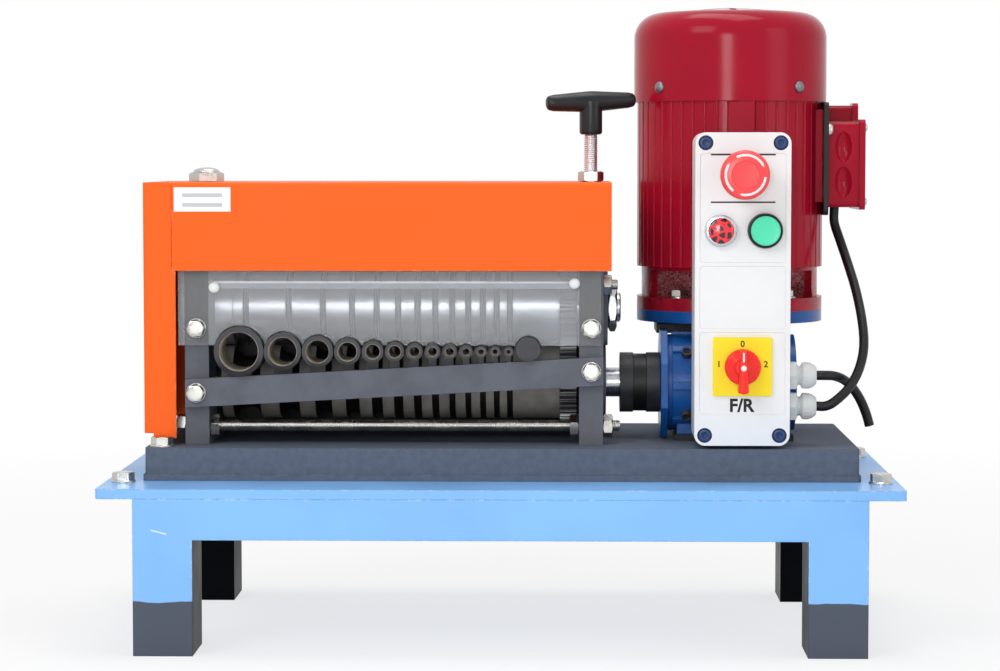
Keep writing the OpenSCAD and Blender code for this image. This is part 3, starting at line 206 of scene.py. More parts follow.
def noise_node(tree, scale, detail=4.0, rough=0.55, vector=None):
    """A noise field of about 1 / scale metres a lump, on Object coordinates unless a vector is given."""
    node = tree.nodes.new("ShaderNodeTexNoise")
    node.inputs["Detail"].default_value = detail
    node.inputs["Roughness"].default_value = rough
    if isinstance(scale, (int, float)):
        node.inputs["Scale"].default_value = scale
    else:
        tree.links.new(scale, node.inputs["Scale"])
    if vector is None:
        vector = tree.nodes.new("ShaderNodeTexCoord").outputs["Object"]
    tree.links.new(vector, node.inputs["Vector"])
    return node.outputs["Fac"]


def remap(tree, value, low, high, to_low=0.0, to_high=1.0):
    """A smooth ramp of value from low..high to to_low..to_high."""
    node = tree.nodes.new("ShaderNodeMapRange")
    node.interpolation_type = "SMOOTHSTEP"
    tree.links.new(value, node.inputs["Value"])
    for label, number in zip(("From Min", "From Max", "To Min", "To Max"), (low, high, to_low, to_high)):
        if isinstance(number, (int, float)):
            node.inputs[label].default_value = number
        else:
            tree.links.new(number, node.inputs[label])
    return node.outputs["Result"]


FLOAT, VECTOR = "NodeSocketFloat", "NodeSocketVector"

clouding, ins, outs = new_group("clouding", [("Scale", FLOAT, 12.0)], [("Cloud", FLOAT)])
clouding.links.new(remap(clouding, noise_node(clouding, ins["Scale"]), 0.3, 0.7), outs["Cloud"])

skin_relief, ins, outs = new_group(
    "skin_relief", [("Grain Scale", FLOAT, 900.0), ("Lumps", FLOAT, 0.0)], [("Height", FLOAT)])
fine = noise_node(skin_relief, ins["Grain Scale"], 2.0)
coarse = noise_node(skin_relief, math_node(skin_relief, "MULTIPLY", ins["Grain Scale"], 0.22), 2.0)
lumps = math_node(skin_relief, "MULTIPLY", coarse, ins["Lumps"])
skin_relief.links.new(math_node(skin_relief, "ADD", fine, lumps), outs["Height"])

edge_finder, ins, outs = new_group(
    "edge_finder", [("Radius", FLOAT, 0.001), ("Breakup", FLOAT, 160.0)],
    [("Edge", FLOAT), ("Normal", VECTOR)])
rounded = edge_finder.nodes.new("ShaderNodeBevel")
rounded.samples = 4
edge_finder.links.new(ins["Radius"], rounded.inputs["Radius"])
sharp = edge_finder.nodes.new("ShaderNodeNewGeometry")
along = edge_finder.nodes.new("ShaderNodeVectorMath")
along.operation = "DOT_PRODUCT"
edge_finder.links.new(rounded.outputs[0], along.inputs[0])
edge_finder.links.new(sharp.outputs["Normal"], along.inputs[1])
bend_amount = math_node(edge_finder, "SUBTRACT", 1.0, along.outputs["Value"])
broken = remap(edge_finder, noise_node(edge_finder, ins["Breakup"], 5.0, 0.65), 0.48, 0.66)
edge_mask = math_node(edge_finder, "MULTIPLY", remap(edge_finder, bend_amount, 0.02, 0.12), broken)
edge_finder.links.new(edge_mask, outs["Edge"])
edge_finder.links.new(rounded.outputs[0], outs["Normal"])

print("groups:", [group.name for group in bpy.data.node_groups])


# %% [markdown]
# Most finishes here are one skin over metal or plastic: a colour that clouds a little, a roughness that
# clouds with it, a fine relief, and lighter edges, which are wear on most skins and a painted highlight on
# the orange covers' bends. One function builds such a material. Values that are the same all over go straight
# onto the shader's own sockets.

# %% Finish builder
def srgb(red, green, blue):
    """Linear colour from 0..255 display values."""
    values = np.array([red, green, blue]) / 255.0
    linear = np.where(values <= 0.04045, values / 12.92, ((values + 0.055) / 1.055) ** 2.4)
    return (*linear.tolist(), 1.0)


def group_node(tree, name, **values):
    """Place a shared group and set its inputs; underscores in the names stand for spaces."""
    node = tree.nodes.new("ShaderNodeGroup")
    node.node_tree = bpy.data.node_groups[name]
    for label, value in values.items():
        node.inputs[label.replace("_", " ")].default_value = value
    return node


def mix_colour(tree, factor, first, second):
    """A Mix node between two colours, each a socket or a colour; returns its colour output."""
    node = tree.nodes.new("ShaderNodeMix")
    node.data_type = "RGBA"
    for index, value in ((0, factor), (6, first), (7, second)):
        if isinstance(value, (int, float, tuple)):
            node.inputs[index].default_value = value
        else:
            tree.links.new(value, node.inputs[index])
    return node.outputs[2]


def scaled(colour, factor):
    """The colour made lighter or darker, kept within 0..1."""
    return (*[min(1.0, channel * factor) for channel in colour[:3]], 1.0)


def start_finish(name):
    """A new material with a Principled shader; returns material, tree and shader."""
    material = bpy.data.materials.new(name)
    tree = new_nodes(material)
    shader = tree.nodes.new("ShaderNodeBsdfPrincipled")
    output = tree.nodes.new("ShaderNodeOutputMaterial")
    tree.links.new(shader.outputs[0], output.inputs["Surface"])
    return material, tree, shader


def add_relief(tree, shader, height, depth, normal=None):
    """Feed a height through a Bump node into the shader's Normal; depth is in metres."""
    bump = tree.nodes.new("ShaderNodeBump")
    bump.inputs["Strength"].default_value = 1.0
    bump.inputs["Distance"].default_value = depth
    tree.links.new(height, bump.inputs["Height"])
    if normal is not None:
        tree.links.new(normal, bump.inputs["Normal"])
    tree.links.new(bump.outputs[0], shader.inputs["Normal"])


def skin_finish(name, colour, rough=(0.3, 0.42), metallic=0.0, coat=0.0, grain=(900.0, 0.00002), lumps=0.0,
                cloud=(12.0, 0.9, 1.06), edge=(0.0008, 1.25), wear_and_highlight=None, shine=0.3):
    """A painted, plated or moulded skin.

    The base colour runs from cloud[1] to cloud[2] times colour over lumps of 1 / cloud[0] metres, roughness
    runs across its range with the same clouds, grain is (scale, depth) of the relief, and edges of about
    edge[0] metres turn to the given edge colour, which is wear on most skins and a painted highlight on the
    orange covers' bends, or to edge[1] times the colour. A low shine keeps dark and strong colours from
    washing out under a white sky.
    """
    material, tree, shader = start_finish(name)
    shader.inputs["Metallic"].default_value = metallic
    shader.inputs["Coat Weight"].default_value = coat
    shader.inputs["Specular IOR Level"].default_value = shine
    shader.inputs["Coat Roughness"].default_value = 0.12
    cloudy = group_node(tree, "clouding", Scale=cloud[0]).outputs["Cloud"]
    base = mix_colour(tree, cloudy, scaled(colour, cloud[1]), scaled(colour, cloud[2]))
    edges = group_node(tree, "edge_finder", Radius=edge[0])
    base = mix_colour(tree, edges.outputs["Edge"], base, wear_and_highlight or scaled(colour, edge[1]))
    tree.links.new(base, shader.inputs["Base Color"])
    tree.links.new(remap(tree, cloudy, 0.0, 1.0, *rough), shader.inputs["Roughness"])
    relief = group_node(tree, "skin_relief", Grain_Scale=grain[0], Lumps=lumps)
    add_relief(tree, shader, relief.outputs["Height"], grain[1], edges.outputs["Normal"])
    return material


print("finish builder ready")


# %% [markdown]
# The painted finishes. The covers are orange enamel with a faint orange-peel, the base a hammered grey, the
# side plates and the guide bar a coarse wrinkle paint, the motor a glossy crimson enamel over a casting and
# the gearbox a blue one. The plates' edges have worn to a paler grey, and the covers' pale edges are a
# painted highlight along their bends, broken up like wear.

# %% Painted finishes
FINISH = {
    # The orange covers' pale edges are a painted highlight along their bends, broken up like wear.
    "orange_paint": skin_finish("orange_paint", srgb(255, 104, 34), (0.4, 0.52), shine=0.12,
                                cloud=(6.0, 0.95, 1.0), grain=(700.0, 0.00003), edge=(0.0014, 1.1),
                                wear_and_highlight=srgb(255, 190, 150)),
    "hammered_grey": skin_finish("hammered_grey", srgb(98, 106, 120), (0.6, 0.75), lumps=2.5, shine=0.04,
                                 grain=(620.0, 0.00016), cloud=(150.0, 0.9, 1.06), edge=(0.0012, 1.6)),
    "plate_paint": skin_finish("plate_paint", srgb(98, 101, 109), (0.48, 0.64), lumps=0.8, shine=0.2,
                               grain=(1500.0, 0.00014), cloud=(40.0, 0.85, 1.12), edge=(0.0008, 1.0),
                               wear_and_highlight=srgb(150, 153, 160)),
    "motor_paint": skin_finish("motor_paint", srgb(164, 16, 42), (0.14, 0.22), lumps=1.0, shine=0.14,
                               grain=(420.0, 0.00004), cloud=(9.0, 0.9, 1.05), edge=(0.001, 1.3)),
    "gearbox_paint": skin_finish("gearbox_paint", srgb(20, 84, 158), (0.26, 0.38), coat=0.05, lumps=1.6,
                                 grain=(520.0, 0.00012), cloud=(18.0, 0.82, 1.1), edge=(0.0015, 1.4)),
    "dark_cast": skin_finish("dark_cast", srgb(40, 42, 46), (0.5, 0.7), lumps=1.5, grain=(700.0, 0.0002),
                             edge=(0.001, 1.5)),
}
print("painted:", sorted(FINISH))


# %% [markdown]
# The stand's paint is pale blue, and its feet were dipped in dark grey, with an edge that wanders. Faces that
# look inwards and the rear legs below the top are black, a painted shade given as a black undercoat, and the
# blue paint's edges turn near white, a painted highlight. Height, the side a face looks to and how far back
# it lies decide which colour shows, all in the frame's own coordinates. One scratch crosses a front leg.

# %% Stand paint
def stand_finish(foot_height=0.043, edge_wander=0.006):
    """Blue enamel above the dipped foot, edges painted near white as highlight, inward faces and rear legs
    painted black as shade.
    """
    blue, dipped, shade_black = srgb(132, 190, 250), srgb(72, 80, 94), srgb(16, 17, 19)
    material, tree, shader = start_finish("stand_paint")
    place = tree.nodes.new("ShaderNodeSeparateXYZ")
    tree.links.new(tree.nodes.new("ShaderNodeTexCoord").outputs["Object"], place.inputs[0])
    facing = tree.nodes.new("ShaderNodeSeparateXYZ")
    tree.links.new(tree.nodes.new("ShaderNodeNewGeometry").outputs["True Normal"], facing.inputs[0])
    cloudy = group_node(tree, "clouding", Scale=7.0).outputs["Cloud"]
    base = mix_colour(tree, cloudy, scaled(blue, 0.93), scaled(blue, 1.03))
    # Painted highlight: the blue paint's edges turn near white, broken up by noise.
    edges = group_node(tree, "edge_finder", Radius=0.0018)
    base = mix_colour(tree, edges.outputs["Edge"], base, srgb(222, 238, 254))
    wander = math_node(tree, "MULTIPLY", noise_node(tree, 28.0, 2.0), edge_wander)
    height = math_node(tree, "SUBTRACT", place.outputs["Z"], wander)
    foot = remap(tree, height, foot_height - 0.0025, foot_height - 0.0015, 1.0, 0.0)
    base = mix_colour(tree, foot, base, dipped)
    run = math_node(tree, "MULTIPLY", math_node(tree, "ADD", place.outputs["X"], 0.28), 0.25)
    above = math_node(tree, "SUBTRACT", place.outputs["Z"], 0.102)
    off_line = math_node(tree, "ABSOLUTE", math_node(tree, "ADD", above, run))
    ends = [remap(tree, place.outputs["X"], *span) for span in ((-0.2805, -0.2795), (-0.267, -0.268))]
    within = math_node(tree, "MULTIPLY", *ends)
    scratch = math_node(tree, "MULTIPLY", remap(tree, off_line, 0.0003, 0.0009, 1.0, 0.0), within)
    base = mix_colour(tree, scratch, base, srgb(214, 230, 250))
    # Painted shade: below the top, faces that look inwards and faces far back, the rear legs among them, turn
    # near black.
    inward = math_node(tree, "MULTIPLY", math_node(tree, "SIGN", place.outputs["X"]), facing.outputs["X"])
    inner = remap(tree, inward, -0.6, -0.4, 1.0, 0.0)
    low = remap(tree, place.outputs["Z"], 0.1265, 0.1268, 1.0, 0.0)
    behind = math_node(tree, "MULTIPLY", remap(tree, place.outputs["Y"], -0.118, -0.112), low)
    painted_shade = math_node(tree, "MAXIMUM", math_node(tree, "MULTIPLY", inner, low), behind)
    tree.links.new(mix_colour(tree, painted_shade, base, shade_black), shader.inputs["Base Color"])
    tree.links.new(remap(tree, painted_shade, 0.0, 1.0, 0.35, 0.02), shader.inputs["Specular IOR Level"])
    tree.links.new(remap(tree, cloudy, 0.0, 1.0, 0.28, 0.4), shader.inputs["Roughness"])
    relief = group_node(tree, "skin_relief", Grain_Scale=500.0, Lumps=1.0)
    add_relief(tree, shader, relief.outputs["Height"], 0.00004, edges.outputs["Normal"])
    return material


FINISH["stand_paint"] = stand_finish()
print("stand paint ready")


# %% [markdown]
# The bare metals. Turned parts carry fine rings round their axis, which lies along X, so their relief only
# changes along X. Fasteners are zinc plated, with a faint yellow passivation.

# %% Metal finishes
def turned_finish(name, colour, rough, ring_scale=1400.0, ring_depth=0.000012, cloud=(30.0, 0.85, 1.05)):
    """Turned steel: rings of 1 / ring_scale metres along X, clouds of stain and brighter edges."""
    material, tree, shader = start_finish(name)
    shader.inputs["Metallic"].default_value = 1.0
    mapping = tree.nodes.new("ShaderNodeMapping")
    mapping.inputs["Scale"].default_value = (1.0, 0.02, 0.02)
    tree.links.new(tree.nodes.new("ShaderNodeTexCoord").outputs["Object"], mapping.inputs["Vector"])
    rings = noise_node(tree, ring_scale, 3.0, 0.6, mapping.outputs[0])
    cloudy = group_node(tree, "clouding", Scale=cloud[0]).outputs["Cloud"]
    base = mix_colour(tree, cloudy, scaled(colour, cloud[1]), scaled(colour, cloud[2]))
    edges = group_node(tree, "edge_finder", Radius=0.0006)
    base = mix_colour(tree, edges.outputs["Edge"], base, scaled(colour, 1.3))
    tree.links.new(base, shader.inputs["Base Color"])
    tree.links.new(remap(tree, rings, 0.3, 0.7, *rough), shader.inputs["Roughness"])
    add_relief(tree, shader, rings, ring_depth, edges.outputs["Normal"])
    return material


FINISH["polished_steel"] = turned_finish("polished_steel", srgb(232, 233, 236), (0.3, 0.38),
                                         ring_depth=0.000002)
FINISH["tool_steel"] = turned_finish("tool_steel", srgb(128, 128, 130), (0.36, 0.48), ring_depth=0.000003)
FINISH["bearing_steel"] = turned_finish("bearing_steel", srgb(190, 193, 198), (0.18, 0.3))
FINISH["zinc_fastener"] = skin_finish("zinc_fastener", srgb(196, 195, 190), (0.2, 0.36), metallic=1.0,
                                      cloud=(60.0, 0.86, 1.04), grain=(1800.0, 0.00001), edge=(0.0004, 1.2))
FINISH["blackened_steel"] = skin_finish("blackened_steel", srgb(56, 57, 61), (0.36, 0.55), metallic=0.2,
                                        cloud=(70.0, 0.75, 1.3), grain=(900.0, 0.00005), edge=(0.0007, 2.4))
print("metals ready")


# %% [markdown]
# The plastics. The control box is white moulded plastic, the glands pale nylon, the knobs and buttons
# coloured and glossier. The clear guard is acrylic with a haze of fine scratches, so its roughness clouds.

# %% Plastic finishes
def plastic_finish(name, colour, rough=(0.28, 0.38), spec_grain=(1600.0, 0.00001), cloud=(20.0, 0.97, 1.02)):
    """A moulded plastic: nearly even colour, slight clouds and a very fine spark texture."""
    return skin_finish(name, colour, rough, grain=spec_grain, cloud=cloud, edge=(0.0006, 1.08))


FINISH["white_plastic"] = plastic_finish("white_plastic", srgb(236, 237, 238))
FINISH["pale_nylon"] = plastic_finish("pale_nylon", srgb(214, 217, 216), (0.36, 0.5))
FINISH["navy_cap"] = plastic_finish("navy_cap", srgb(36, 66, 120))
FINISH["black_plastic"] = plastic_finish("black_plastic", srgb(28, 29, 32), (0.3, 0.44), (1200.0, 0.00003))
FINISH["black_rubber"] = plastic_finish("black_rubber", srgb(18, 18, 20), (0.32, 0.44), (1100.0, 0.00002))
FINISH["yellow_plastic"] = plastic_finish("yellow_plastic", srgb(252, 226, 24))
FINISH["red_plastic"] = plastic_finish("red_plastic", srgb(250, 46, 38), (0.2, 0.3))
FINISH["green_plastic"] = plastic_finish("green_plastic", srgb(84, 226, 180), (0.2, 0.3))


def acrylic_finish():
    """Clear acrylic with a haze: most light passes, a little scatters, and the roughness clouds slightly."""
    material, tree, shader = start_finish("clear_acrylic")
    shader.inputs["Base Color"].default_value = srgb(240, 243, 246)
    shader.inputs["Transmission Weight"].default_value = 0.8
    shader.inputs["IOR"].default_value = 1.2
    cloudy = group_node(tree, "clouding", Scale=16.0).outputs["Cloud"]
    tree.links.new(remap(tree, cloudy, 0.0, 1.0, 0.02, 0.06), shader.inputs["Roughness"])
    return material


def lens_finish():
    """Moulded lamp lens: near black cells parted by broad, bright red ridges."""
    material, tree, shader = start_finish("red_lens")
    shader.inputs["Coat Weight"].default_value = 0.6
    shader.inputs["Roughness"].default_value = 0.2
    cells = tree.nodes.new("ShaderNodeTexVoronoi")
    cells.feature = "DISTANCE_TO_EDGE"
    cells.inputs["Scale"].default_value = 170.0
    tree.links.new(tree.nodes.new("ShaderNodeTexCoord").outputs["Object"], cells.inputs["Vector"])
    ridge = remap(tree, cells.outputs["Distance"], 0.1, 0.2, 1.0, 0.0)
    base = mix_colour(tree, ridge, srgb(20, 10, 14), srgb(250, 22, 42))
    tree.links.new(base, shader.inputs["Base Color"])
    add_relief(tree, shader, ridge, 0.0003)
    return material


FINISH["clear_acrylic"] = acrylic_finish()
FINISH["red_lens"] = lens_finish()
print("finishes:", len(FINISH))


# %% [markdown]
# Each solid of the frame now takes its finish. The record already names a finish slot for every solid, so
# the lesson reads it from there and needs no list of its own.

# %% Dress the frame's solids
slot_of = {row["node"]: row["material_slot"] for row in frame["record"]["subparts"]}
print("slots in the record:", len(set(slot_of.values())), "for", len(slot_of), "nodes")


def dress(node_name, slot):
    """Put one finish into every material slot of a solid."""
    solid = frame["nodes"][node_name]
    solid.data.materials.clear()
    solid.data.materials.append(FINISH[slot])


for node_name, slot in slot_of.items():
    dress(node_name, slot)
print("dressed", len(slot_of), "solids")


# %% [markdown]
# The two cables. A curve with a round bevel is the natural form of a cord: its points are the route from
# the gland to the far end, and the bevel gives it its thickness. The motor's cable runs from under the
# terminal box to the lower gland, and the supply cable is a short stiff stub.

# %% Cords
CORD_D = 0.008
MOTOR_ROUTE = np.array([
    [284, 20, 358], [284, 20, 345], [288, 14, 331], [294, 0, 310], [299, -20, 288],
    [302, -42, 264], [302, -58, 243], [297, -70, 225], [288, -78, 210], [276, -82.5, 199],
    [268, -83, 195], [260, -83, 195]]) * MM
SUPPLY_ROUTE = np.array([
    [260, -83, 220.5], [268, -83, 220.5], [276, -77, 219.5], [285, -67, 215.5], [293, -59, 208],
    [300, -54, 197.5], [305, -52, 186], [308, -51, 176]]) * MM


def route_length(route):
    """Sum of the straight steps between the route's points."""
    return float(np.linalg.norm(np.diff(route, axis=0), axis=1).sum())


def lay_cord(name, route, node_name):
    """A round cord along the route, as one open spline, in place of the solid node_name."""
    curve = bpy.data.curves.new(name, "CURVE")
    curve.dimensions = "3D"
    curve.bevel_depth = CORD_D / 2
    curve.bevel_resolution = 5
    curve.use_fill_caps = True
    spline = curve.splines.new("POLY")
    spline.points.add(len(route) - 1)
    spline.points.foreach_set("co", np.column_stack([route, np.ones(len(route))]).ravel())
    spline.use_smooth = True
    cord = bpy.data.objects.new(name, curve)
    bpy.context.scene.collection.objects.link(cord)
    curve.materials.append(FINISH["black_rubber"])
    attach(cord, "frame")
    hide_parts(node_name)
    print(name, round(route_length(route), 4), "m")


def smooth_route(route, steps):
    """Catmull-Rom curve through the route's points, sampled steps times between each pair."""
    ends = np.vstack([2 * route[0] - route[1], route, 2 * route[-1] - route[-2]])
    t = np.linspace(0, 1, steps, endpoint=False)[None, :, None]
    a, b, c, d = (ends[k:len(ends) - 3 + k, None, :] for k in range(4))
    inner = 0.5 * (2 * b + (c - a) * t + (2 * a - 5 * b + 4 * c - d) * t**2 + (3 * b - a - 3 * c + d) * t**3)
    return np.vstack([inner.reshape(-1, 3), route[-1:]])


lay_cord("motor_cord", smooth_route(MOTOR_ROUTE, 3), "motor_cable")
lay_cord("supply_cord", smooth_route(SUPPLY_ROUTE, 4), "supply_cable")


# %% [markdown]
# Finer surfaces. Every new piece below is a grid of points worked out as whole arrays: rows along a path or
# up an axis, columns round it. Shapes are written in millimetres along their own +Z, then aimed at an axis
# and put in place. One function joins such shells into a mesh, welds poles and seams and turns the faces
# outwards.

# %% Surface helpers
RIGHT, FRONT = (1, 0, 0), (0, -1, 0)


def grid_shell(points, close_rows=False):
    """Quads over a grid of points whose columns join up into rings; rows may join up too."""
    rows, cols = points.shape[:2]
    index = np.arange(rows * cols).reshape(rows, cols)
    if close_rows:
        index = np.vstack([index, index[:1]])
    ring = np.roll(index, -1, axis=1)
    faces = np.stack([index[:-1], ring[:-1], ring[1:], index[1:]], axis=-1)
    return points.reshape(-1, 3), faces.reshape(-1, 4)


def polar(radius, angle, height):
    """Points x = r cos a, y = r sin a, z = height, spread over one grid."""
    return np.stack(np.broadcast_arrays(radius * np.cos(angle), radius * np.sin(angle), height), axis=-1)


def lathe(profile, steps=48):
    """Turn (radius, height) points round +Z: x = r cos a, y = r sin a, z = height."""
    profile = np.asarray(profile, float)
    angle = np.linspace(0, 2 * np.pi, steps, endpoint=False)
    return polar(profile[:, :1], angle, profile[:, 1:])


def aim(points, origin, axis=(0, 0, 1), spin=0.0):
    """Spin a shape about its own +Z by degrees, turn that +Z to the axis and put it at origin."""
    up = np.asarray(axis, float) / np.linalg.norm(axis)
    helper = np.array([0.0, 0, 1]) if abs(up[2]) < 0.9 else np.array([0.0, 1, 0])
    side = np.cross(helper, up)
    side /= np.linalg.norm(side)
    basis = np.stack([side, np.cross(up, side), up])
    turn = np.radians(spin)
    spun = points @ np.array([[np.cos(turn), np.sin(turn), 0], [-np.sin(turn), np.cos(turn), 0], [0, 0, 1]])
    return spun @ basis + np.asarray(origin, float)


def turned(profile, origin, axis=(0, 0, 1), steps=48, close_rows=False):
    """A lathe shell aimed along an axis."""
    return grid_shell(aim(lathe(profile, steps), origin, axis), close_rows)


def make_piece(name, shells, finish, body, stands_for=(), crease=35.0):
    """Join shells into one welded mesh in metres, smooth it up to the crease angle and let it ride on a body."""
    starts = np.cumsum([0] + [len(points) for points, _ in shells[:-1]])
    points = np.vstack([points for points, _ in shells]) * MM
    faces = np.vstack([faces + start for (_, faces), start in zip(shells, starts)])
    mesh = bpy.data.meshes.new(name)
    mesh.from_pydata(points.tolist(), [], faces.tolist())
    work = bmesh.new()
    work.from_mesh(mesh)
    bmesh.ops.remove_doubles(work, verts=work.verts, dist=1e-7)
    bmesh.ops.dissolve_degenerate(work, dist=1e-7, edges=work.edges)
    bmesh.ops.recalc_face_normals(work, faces=work.faces)
    work.to_mesh(mesh)
    work.free()
    mesh.shade_smooth()
    mesh.set_sharp_from_angle(angle=math.radians(crease))
    mesh.materials.append(FINISH[finish])
    piece = bpy.data.objects.new(name, mesh)
    bpy.context.scene.collection.objects.link(piece)
    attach(piece, body)
    if stands_for:
        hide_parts(*stands_for)
    print(name, len(mesh.polygons), "faces")
    return piece


def corners(node_name):
    """A solid's lowest and highest corners in millimetres."""
    low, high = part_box(node_name)
    return np.array(low) / MM, np.array(high) / MM


print("surface helpers ready")


# %% [markdown]
# Hexagon fasteners. A real head is a hexagon cut by a cone, so its corners are lower than its flats. In
# polar form the hexagon's radius is half the width across flats over the cosine of the angle from the
# nearest flat, and the cone lowers each point by how far it lies outside a circle.

# %% Hexagon heads, washers and nuts
HEX_STEPS = 72
CONE = math.tan(math.radians(30))


def hex_rings(flats, rows):
    """Rings of a hexagon: each row is (kind, value, height), a round ring of that radius or a hexagon."""
    angle = np.linspace(0, 2 * np.pi, HEX_STEPS, endpoint=False)
    away = np.mod(angle, np.pi / 3) - np.pi / 6
    hexagon = flats / 2 / np.cos(away)
    drop = (hexagon - 0.475 * flats) * CONE
    rings = []
    for kind, value, height in rows:
        radius = hexagon if kind == "hex" else np.full(HEX_STEPS, value)
        lift = np.full(HEX_STEPS, float(height)) + (value * drop if kind == "hex" else 0)
        rings.append(polar(radius, angle, lift))
    return np.stack(rings)


def hex_head(flats, height):
    """A bolt head on z = 0: flat crown, coned corners, six flats."""
    crown = 0.46 * flats
    return hex_rings(flats, [("round", 0, height), ("round", crown * 0.72, height),
                             ("round", crown, height - 0.05), ("hex", -1, height), ("hex", 0, 0),
                             ("round", 0, 0)])


def hex_nut(flats, height, bore):
    """A nut on z = 0 with coned corners on both faces and a countersunk bore."""
    crown, sink = 0.47 * flats, 0.8
    return hex_rings(flats, [("round", bore / 2, sink), ("round", bore / 2 + sink, 0), ("round", crown, 0),
                             ("hex", 1, 0), ("hex", -1, height), ("round", crown, height),
                             ("round", bore / 2 + sink, height), ("round", bore / 2, height - sink)])


def washer_profile(outer, bore, thick):
    """Section of a stamped washer with a rolled upper edge."""
    edge = 0.35 * thick
    return [(bore / 2, 0), (outer / 2, 0), (outer / 2, thick - edge), (outer / 2 - edge, thick),
            (bore / 2, thick)]


def thread_rows(diameter, pitch, length, depth, steps=28, per_turn=6):
    """A screw thread up +Z: the radius dips by depth once a turn, its phase following angle / 2 pi."""
    z = np.linspace(0, length, int(length / pitch * per_turn) + 1)[:, None]
    angle = np.linspace(0, 2 * np.pi, steps, endpoint=False)[None, :]
    dip = 0.5 + 0.5 * np.cos(2 * np.pi * z / pitch - angle)
    fade = np.clip(np.minimum(z, length - z) / pitch, 0, 1)
    radius = diameter / 2 - depth * dip - 0.6 * depth * (1 - fade)
    grid = polar(radius, angle, z)
    low, high = grid[:1] * [0, 0, 1], grid[-1:] * [0, 0, 1]
    return np.concatenate([low, grid, high])


def bolt_shells(seat, axis, diameter, flats, head_h, washer, shank, spin):
    """Washer, head and threaded shank of one bolt: the washer sits on seat and the head looks along axis."""
    outer, thick = washer
    seat, axis = np.asarray(seat, float), np.asarray(axis, float)
    thread = thread_rows(diameter, diameter * 0.15, shank, diameter * 0.07, 20, 5)
    return [
        grid_shell(aim(lathe(washer_profile(outer, diameter, thick), 48), seat, axis), True),
        grid_shell(aim(hex_head(flats, head_h), seat + axis * thick, axis, spin)),
        grid_shell(aim(thread, seat - axis * shank, axis)),
    ]


M10 = {"diameter": 10, "flats": 16, "head_h": 6.4, "washer": (20, 2)}
M8 = {"diameter": 8, "flats": 13, "head_h": 5.3, "washer": (16.6, 1.6)}
NUT_H = 8
(base_low, base_high), (top_low, top_high) = corners("machine_base"), corners("stand_top")
stand_bolt_x = (top_high[0] - 15) * np.array([-1, 1])
stand_bolt_y = (base_low[1] - 7, base_high[1] - 30)
base_bolt = [(base_low[0] + 14, y) for y in (base_low[1] + 15, base_high[1] - 15)]
random_turn = np.random.default_rng(11)
shells = []
for x, y, seat_z in [(x, y, top_high[2]) for x in stand_bolt_x for y in stand_bolt_y] + [
        (x, y, base_high[2]) for x, y in base_bolt]:
    shank = seat_z - top_low[2]
    shells += bolt_shells((x, y, seat_z), (0, 0, 1), shank=shank, spin=random_turn.uniform(0, 60), **M10)
make_piece("stand_bolts", shells, "zinc_fastener", "frame", ["hex_bolts_m10"], 28)

(left_low, left_high), (right_low, right_high) = corners("left_side_plate"), corners("right_side_plate")
plate_mids = [(left_low[0] + left_high[0]) / 2, (right_low[0] + right_high[0]) / 2]
head_y = (left_low[1] + left_high[1]) / 2
bar_low = corners("guide_bar")[0]
BAR_LEFT_Z, BAR_RIGHT_Z = base_high[2] + 43, base_high[2] + 62
bar_slope = (BAR_RIGHT_Z - BAR_LEFT_Z) / (right_high[0] - left_low[0])


def bar_mid(x):
    """Height of the slanted bar's middle line at x."""
    return BAR_LEFT_Z + bar_slope * (x - left_low[0])


window_low = corners("guard_window")[0]
GUARD_BOLT_Z = base_high[2] + 97
cover_low, cover_high = corners("top_cover")
motor_axis = np.array([(a + b) / 2 for a, b in zip(*corners("fan_cover"))])[:2]
bell_low = corners("motor_end_bell")[0]
FLANGE_T, FLANGE_PCD = 11, 130
shells = []
for x in plate_mids:
    for seat, shank in (((x, bar_low[1], bar_mid(x)), 30), ((x, window_low[1], GUARD_BOLT_Z), 25)):
        shells += bolt_shells(seat, FRONT, shank=shank, spin=random_turn.uniform(0, 60), **M8)
shells += bolt_shells((plate_mids[0], head_y + 35, cover_high[2]), (0, 0, 1), shank=13, spin=20, **M8)
for a in np.radians([45, 135, 225, 315]):
    on_circle = motor_axis + FLANGE_PCD / 2 * np.array([np.cos(a), np.sin(a)])
    shells += bolt_shells((*on_circle, bell_low[2] + FLANGE_T), (0, 0, 1), shank=21,
                          spin=random_turn.uniform(0, 60), **M8)
make_piece("machine_bolts", shells, "zinc_fastener", "frame", ["hex_bolts_m8"], 28)


# %% [markdown]
# The tie rod is threaded over its whole length, and so are the depth screw and the left screw. A thread is
# a tube whose radius dips once a turn, so it is one grid and needs no helix modelling.

# %% Rods, screws and nuts
rod_low, rod_high = corners("tie_rod")
rod_y, rod_z = (rod_low[1] + rod_high[1]) / 2, (rod_low[2] + rod_high[2]) / 2
rod = thread_rows(10, 1.5, rod_high[0] - rod_low[0], 0.75, 24, 6)
rod = grid_shell(aim(rod, (rod_low[0], rod_y, rod_z), RIGHT))
make_piece("tie_rod_thread", [rod], "zinc_fastener", "frame", ["tie_rod"], 60)

shells = []
for x in (left_low[0] - NUT_H, left_high[0], right_low[0] - NUT_H, right_high[0]):
    nut = hex_nut(17, NUT_H, 10.1)
    shells.append(grid_shell(aim(nut, (x, rod_y, rod_z), RIGHT, random_turn.uniform(0, 60)), True))
shells.append(grid_shell(aim(hex_nut(19, 9, 12.6), (plate_mids[1], head_y, cover_high[2])), True))
make_piece("rod_nuts", shells, "zinc_fastener", "frame", ["hex_nuts"], 28)


